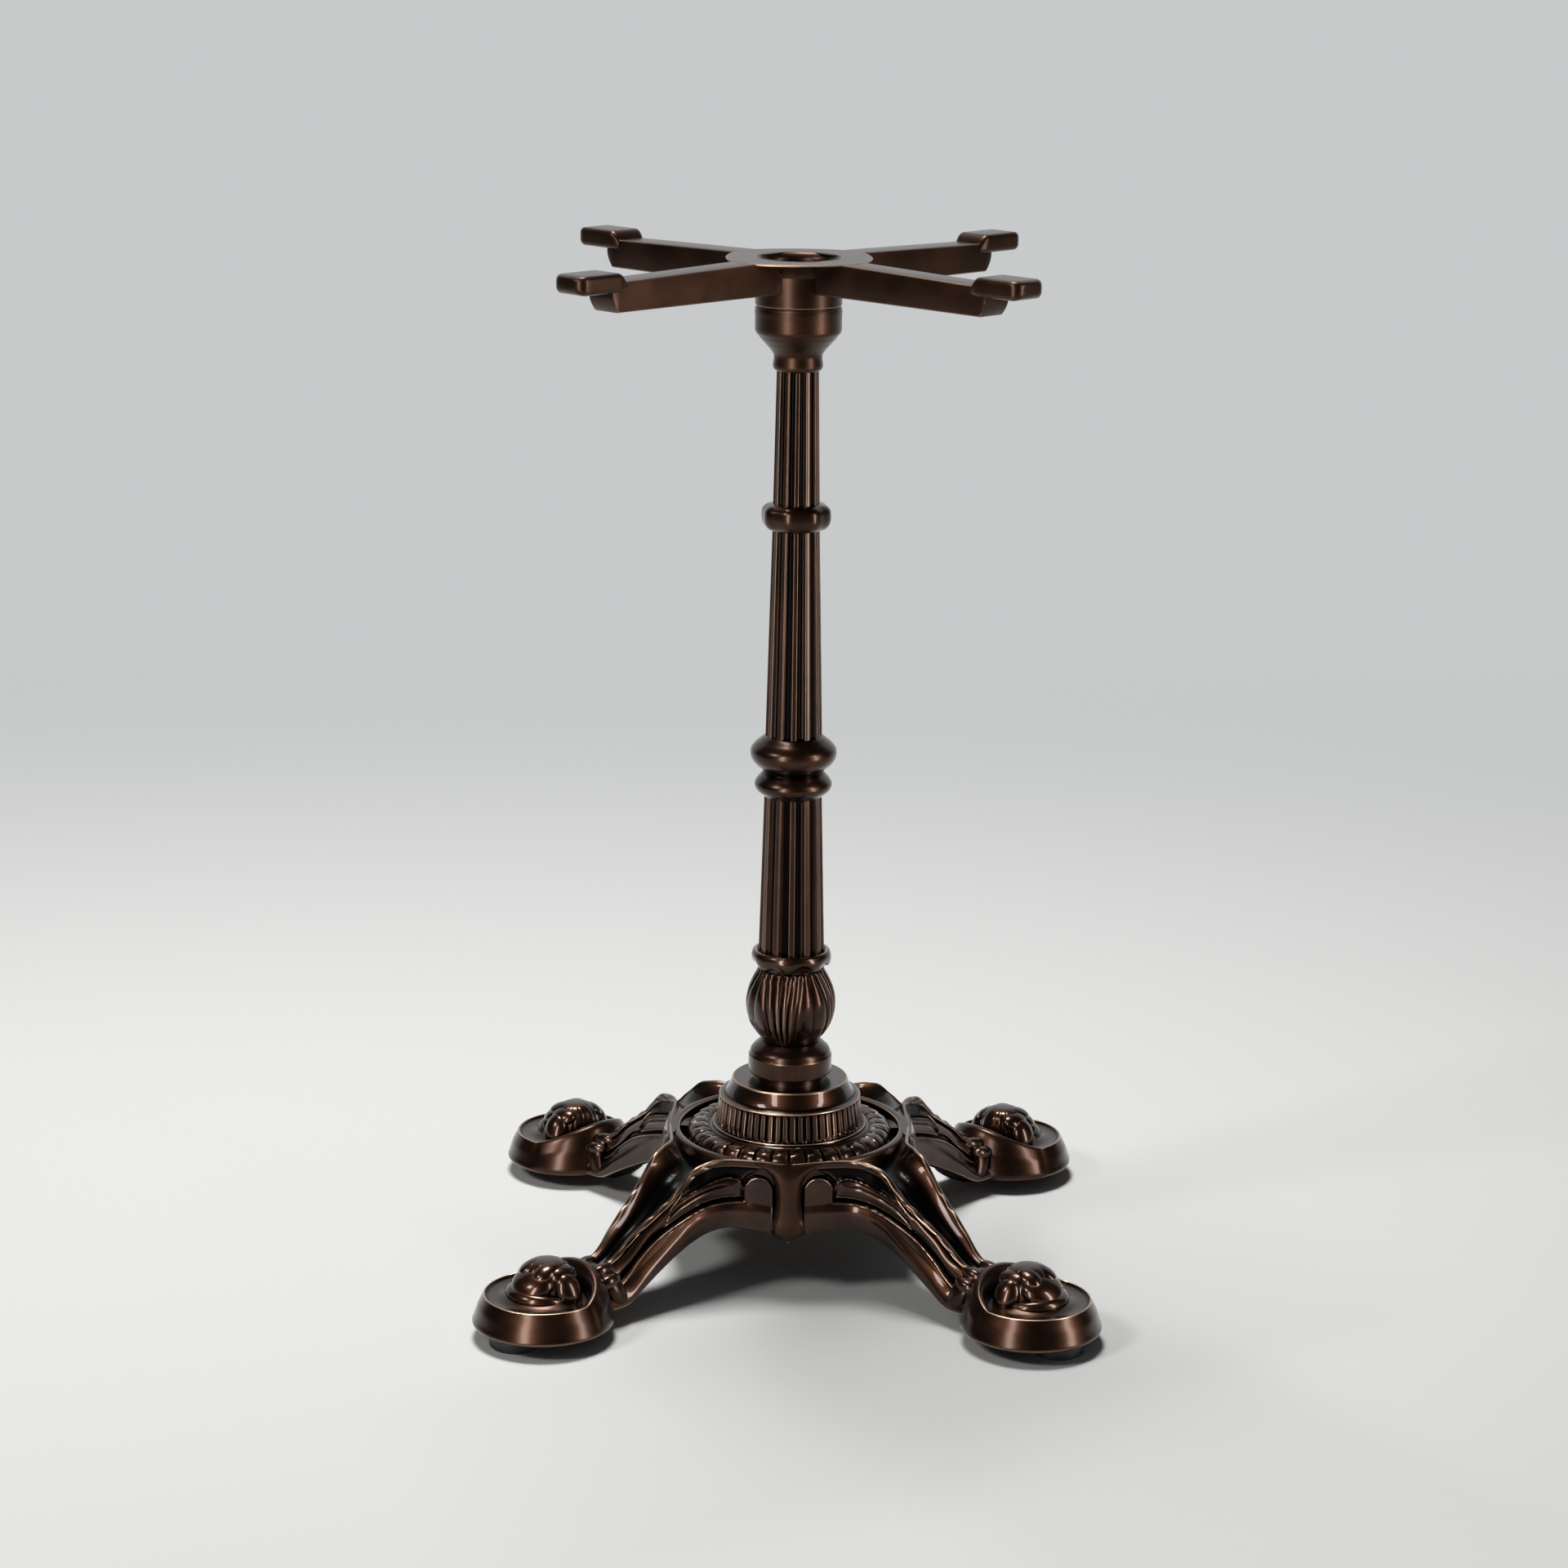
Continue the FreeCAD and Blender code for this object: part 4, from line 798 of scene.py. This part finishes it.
LOWER_SHAFT = ((223, 23.3), (333, 20.4), (340.5, 20.2))
MIDDLE_SHAFT = ((380, 19.9), (531, 16.3))
UPPER_SHAFT = ((545, 16.1), (642, 14.4))
FLUTE_DEPTH, FLUTE_START = 0.15, 0.30
BEADS_PROFILE = (
    (338.4, 17.5), (339.2, 20), (341, 21.8), (342.7, 24.3), (344.6, 26.1), (346.3, 26.9), (348.1, 27.2),
    (350, 26.8), (351.7, 25.8), (353.4, 24.5), (355.2, 22.8), (356.6, 21.2), (357.4, 20.9), (358.8, 22.0),
    (360.5, 24.1), (362.3, 26.3), (364.1, 27.9), (365.9, 29.1), (367.6, 29.8), (369.4, 30.2), (371.1, 30.3),
    (373, 30.1), (374.7, 29.4), (376.4, 28.1), (378.2, 26.4), (379.9, 24.2), (381.8, 21.8), (383.2, 19.6),
    (384, 17.5))
RING_PROFILE = (
    (528.5, 14.5), (529, 17.6), (530.7, 21), (532.5, 22.5), (534.1, 23.2), (537.6, 23.8), (541, 23.7),
    (542.7, 23.5), (544.5, 22.5), (546.1, 20.5), (547.2, 17.5), (547.6, 14.5))
CAPITAL_PROFILE = (
    (638.8, 13.0), (639.6, 15.6), (641.1, 16.9), (643.4, 17.2), (645.5, 16.9), (647.8, 16.6), (650, 16.7),
    (652.2, 17.9), (654.5, 19.6), (656.7, 21.6), (659, 23.6), (661.2, 25.7), (663.5, 27.4), (665.2, 28.9),
    (666.4, 29.5), (667.4, 29.65), (670, 29.7), (676, 29.7), (681.6, 29.7), (682.6, 29.4), (682.9, 28.6),
    (682.9, 8.0))
RING_COUNT = 160
FACETS, FACET_DEPTH = 8, 0.6


def fluted(stations, rows=20, per_flute=26):
    """Tapered shaft through stations (z, radius): the radius dips once for each flute, round at its
    bottom, between flat ribs."""
    z = np.linspace(stations[0][0], stations[-1][0], rows)
    radius = np.interp(z, [p[0] for p in stations], [p[1] for p in stations])

    def swell(angle, radius, height):
        """Radius less the dip of the flute at that angle."""
        wave = (1 - np.cos(FLUTES * angle)) / 2
        dip = np.sqrt(np.clip((wave - FLUTE_START) / (1 - FLUTE_START), 0, 1))
        return radius * (1 - FLUTE_DEPTH * dip), height

    return turned(np.column_stack([radius, z]), FLUTES * per_flute, swell)


def smooth_profile(stations, step=1.1):
    """Profile through stations (z, radius), smooth and evenly divided along its length."""
    z, radius = np.array(stations).T
    path = np.concatenate([[0], np.cumsum(np.hypot(np.diff(z), np.diff(radius)))])
    along = np.linspace(0, path[-1], int(path[-1] / step))
    return np.column_stack([smooth_through(along, path, radius), smooth_through(along, path, z)])


def ring_swell(angle, radius, height):
    """Softly faceted band: its radius follows a wave of the angle where it stands out."""
    facet = np.cos(FACETS * angle + math.radians(100))
    return radius + FACET_DEPTH * facet * step_up(radius - 19, 3), height


shafts = [(fluted(stations), False) for stations in (LOWER_SHAFT, MIDDLE_SHAFT, UPPER_SHAFT)]
beads = turned(smooth_profile(BEADS_PROFILE), RING_COUNT)
ring = turned(smooth_profile(RING_PROFILE), RING_COUNT, ring_swell)
capital = turned(smooth_profile(CAPITAL_PROFILE), RING_COUNT)
cast_piece("column_shafts", shafts, bronze_fluted, "column", sharp=80)
cast_piece("column_rings", [(beads, False), (ring, False)], bronze, "column")
cast_piece("column_capital", [(capital, False)], bronze_satin, "column")

# The spider carries the table top: a hub with a deep bore, a web disc, four straight arms and four pads
# with rounded ends. It is cast in one and stands on the capital, with a fine seam between them.
HUB_TOP = 716.4
HUB_OUTLINE = (
    (7, 691, 0), (25.5, 691, 0.8), (25.5, 713.0, 3.0), (28.6, 716.5, 2.2), (31, 716.5, 0), (31, 713, 0),
    (29.7, 708, 1.5), (29.7, 684.4, 0.5), (28.8, 684.0, 0.3), (28.8, 682.9, 0), (7, 682.9, 0))
ARM_START, ARM_END, ARM_ROUND = 26.4, 181.0, 5.0
ARM_HALF = 11.5
ARM_LOW, ARM_TOP = 694.0, 714.0
PAD_IN, PAD_OUT = 168.5, 211.0
PAD_HALF = 14.0
PAD_TOP = 720.0
PAD_THICK = 12.8
PAD_ROUND, PAD_STEP = 7, 8
WEB_R, WEB_BULGE, WEB_EDGE = 50.0, 4, 1.2
WEB_INNER_R, WEB_FLARE_R = 28.9, 29.2
WEB_FLARE = 14.0


def box_ring(x, half, low, high, radius, steps=4):
    """Rounded rectangles across the arm, one ring for each x, all with the same number of points."""
    rings = []
    for xi, hi, lo, up, ri in np.broadcast(x, half, low, high, radius):
        ri = min(ri, hi * 0.98, (up - lo) * 0.49)
        corner = np.linspace(0, math.pi / 2, steps)
        ring = []
        middles = ((hi - ri, up - ri), (-hi + ri, up - ri), (-hi + ri, lo + ri), (hi - ri, lo + ri))
        for start, (cy, cz) in enumerate(middles):
            a = corner + start * math.pi / 2
            ring.append(np.column_stack([np.full(steps, xi), cy + ri * np.cos(a), cz + ri * np.sin(a)]))
        rings.append(np.vstack(ring))
    return np.stack(rings)


def arm_rings():
    """Straight arm; its end leans in towards the bottom and its lower corner is rounded."""
    straight = ARM_END - ARM_ROUND
    x = np.concatenate([np.linspace(ARM_START, 60, 16), np.linspace(64, 170, 24),
                        np.linspace(173, straight, 4),
                        straight + ARM_ROUND * np.sin(np.linspace(0.2, math.pi / 2, 8))])
    close = np.clip((x - straight) / ARM_ROUND, 0, 1)
    low = ARM_LOW + ARM_ROUND * (1 - np.sqrt(1 - close**2)) + ARM_ROUND * close
    top = ARM_TOP + (HUB_TOP - 0.15 - ARM_TOP) * np.clip((165 - x) / 110, 0, 1)
    return box_ring(x, ARM_HALF, low, top, 1.2)


def pad_rings():
    """Pad with rounded ends: width and height draw in on a quarter circle at the outer end."""
    straight = PAD_OUT - PAD_ROUND
    x = np.concatenate([PAD_IN + PAD_STEP * (1 - np.cos(np.linspace(0, math.pi / 2, 10))),
                        np.linspace(178, 202, 10),
                        straight + PAD_ROUND * np.sin(np.linspace(0.1, math.pi / 2 * 0.985, 14))])
    inner = np.clip((PAD_IN + PAD_STEP - x) / PAD_STEP, 0, 1)
    drawn = 1 - np.sqrt(1 - np.clip((x - straight) / PAD_ROUND, 0, 1)**2)
    half = PAD_HALF - PAD_ROUND * drawn - 2.0 * inner**2
    top = PAD_TOP - 2.6 * drawn - 6.0 * inner**2
    low = PAD_TOP - PAD_THICK + 5.0 * drawn
    return box_ring(x, half, low, top, 3.4, 7)


def web_rings(count=240):
    """Web disc with a thin edge: its underside flares out of the hub on a hollow curve, and it reaches
    further out along the arms."""
    a = np.linspace(0, 2 * math.pi, count, endpoint=False)
    reach = WEB_R + WEB_BULGE * np.abs(np.sin(2 * a))**3
    flat = 0 * a
    rows = [(WEB_INNER_R + flat, HUB_TOP - WEB_FLARE + flat)]
    for lean in np.linspace(0, math.pi / 2, 12):
        height = HUB_TOP - WEB_FLARE + (WEB_FLARE - WEB_EDGE) * math.sin(lean)
        rows.append((WEB_FLARE_R + (reach - WEB_FLARE_R) * (1 - math.cos(lean)), height + flat))
    rows += [(reach, HUB_TOP - 0.5 + flat), (reach - 0.5, HUB_TOP + flat), (reach - WEB_EDGE, HUB_TOP + flat),
             (WEB_INNER_R + flat, HUB_TOP + flat)]
    return np.stack([np.column_stack([r * np.cos(a), r * np.sin(a), z]) for r, z in rows])


hub_rings = turned(divided(rounded(HUB_OUTLINE, 5), 2.4), ROUND_COUNT)[::-1]
cast_piece("spider_hub", [(hub_rings, True), (web_rings(), True)], bronze_satin, "top_spider")
arm_grids = (arm_rings(), pad_rings())
for quarter, degrees in LEG_QUARTERS.items():
    cast_piece("spider_arm_" + quarter, [(about_column(grid, degrees), False) for grid in arm_grids],
               bronze_satin, "top_spider")

# The small parts keep the solids of the CAD: black plastic glide pads, and zinc-plated steel for the rod,
# its nuts and washers, the glides' studs and their lock nuts.
PLASTIC = (0.004, 0.004, 0.0045, 1.0)
ZINC = (0.38, 0.38, 0.37, 1.0)
ZINC_NODES = ("glide_stud", "lock_nut", "tie_rod", "top_nut", "top_washer", "bottom_nut", "bottom_washer")
TONE_SPREAD = 1.5
ROUGHNESS_SPREAD = 0.06


def plain_material(name, colour, metallic, roughness, scale):
    """Plain finish whose roughness and tone vary in fine clouds."""
    material, nodes, links, shader = node_material(name)
    place = nodes.new("ShaderNodeTexCoord")
    clouds = nodes.new("ShaderNodeTexNoise")
    clouds.inputs["Scale"].default_value = scale
    links.new(place.outputs["Object"], clouds.inputs["Vector"])
    mix = nodes.new("ShaderNodeMix")
    mix.data_type = "RGBA"
    mix.inputs["A"].default_value = colour
    mix.inputs["B"].default_value = tuple(c * TONE_SPREAD for c in colour[:3]) + (1.0,)
    links.new(clouds.outputs["Fac"], mix.inputs["Factor"])
    links.new(mix.outputs["Result"], shader.inputs["Base Color"])
    spread = nodes.new("ShaderNodeMapRange")
    spread.inputs["To Min"].default_value = roughness - ROUGHNESS_SPREAD
    spread.inputs["To Max"].default_value = roughness + ROUGHNESS_SPREAD
    links.new(clouds.outputs["Fac"], spread.inputs["Value"])
    links.new(spread.outputs["Result"], shader.inputs["Roughness"])
    shader.inputs["Metallic"].default_value = metallic
    return material


glide_black = plain_material("glide_black", PLASTIC, 0.0, 0.36, 300)
zinc = plain_material("zinc_plate", ZINC, 1.0, 0.35, 200)
for name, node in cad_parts.items():
    if name.startswith("glide_pad"):
        node.data.materials.clear()
        node.data.materials.append(glide_black)
    elif name.startswith(ZINC_NODES):
        node.data.materials.clear()
        node.data.materials.append(zinc)
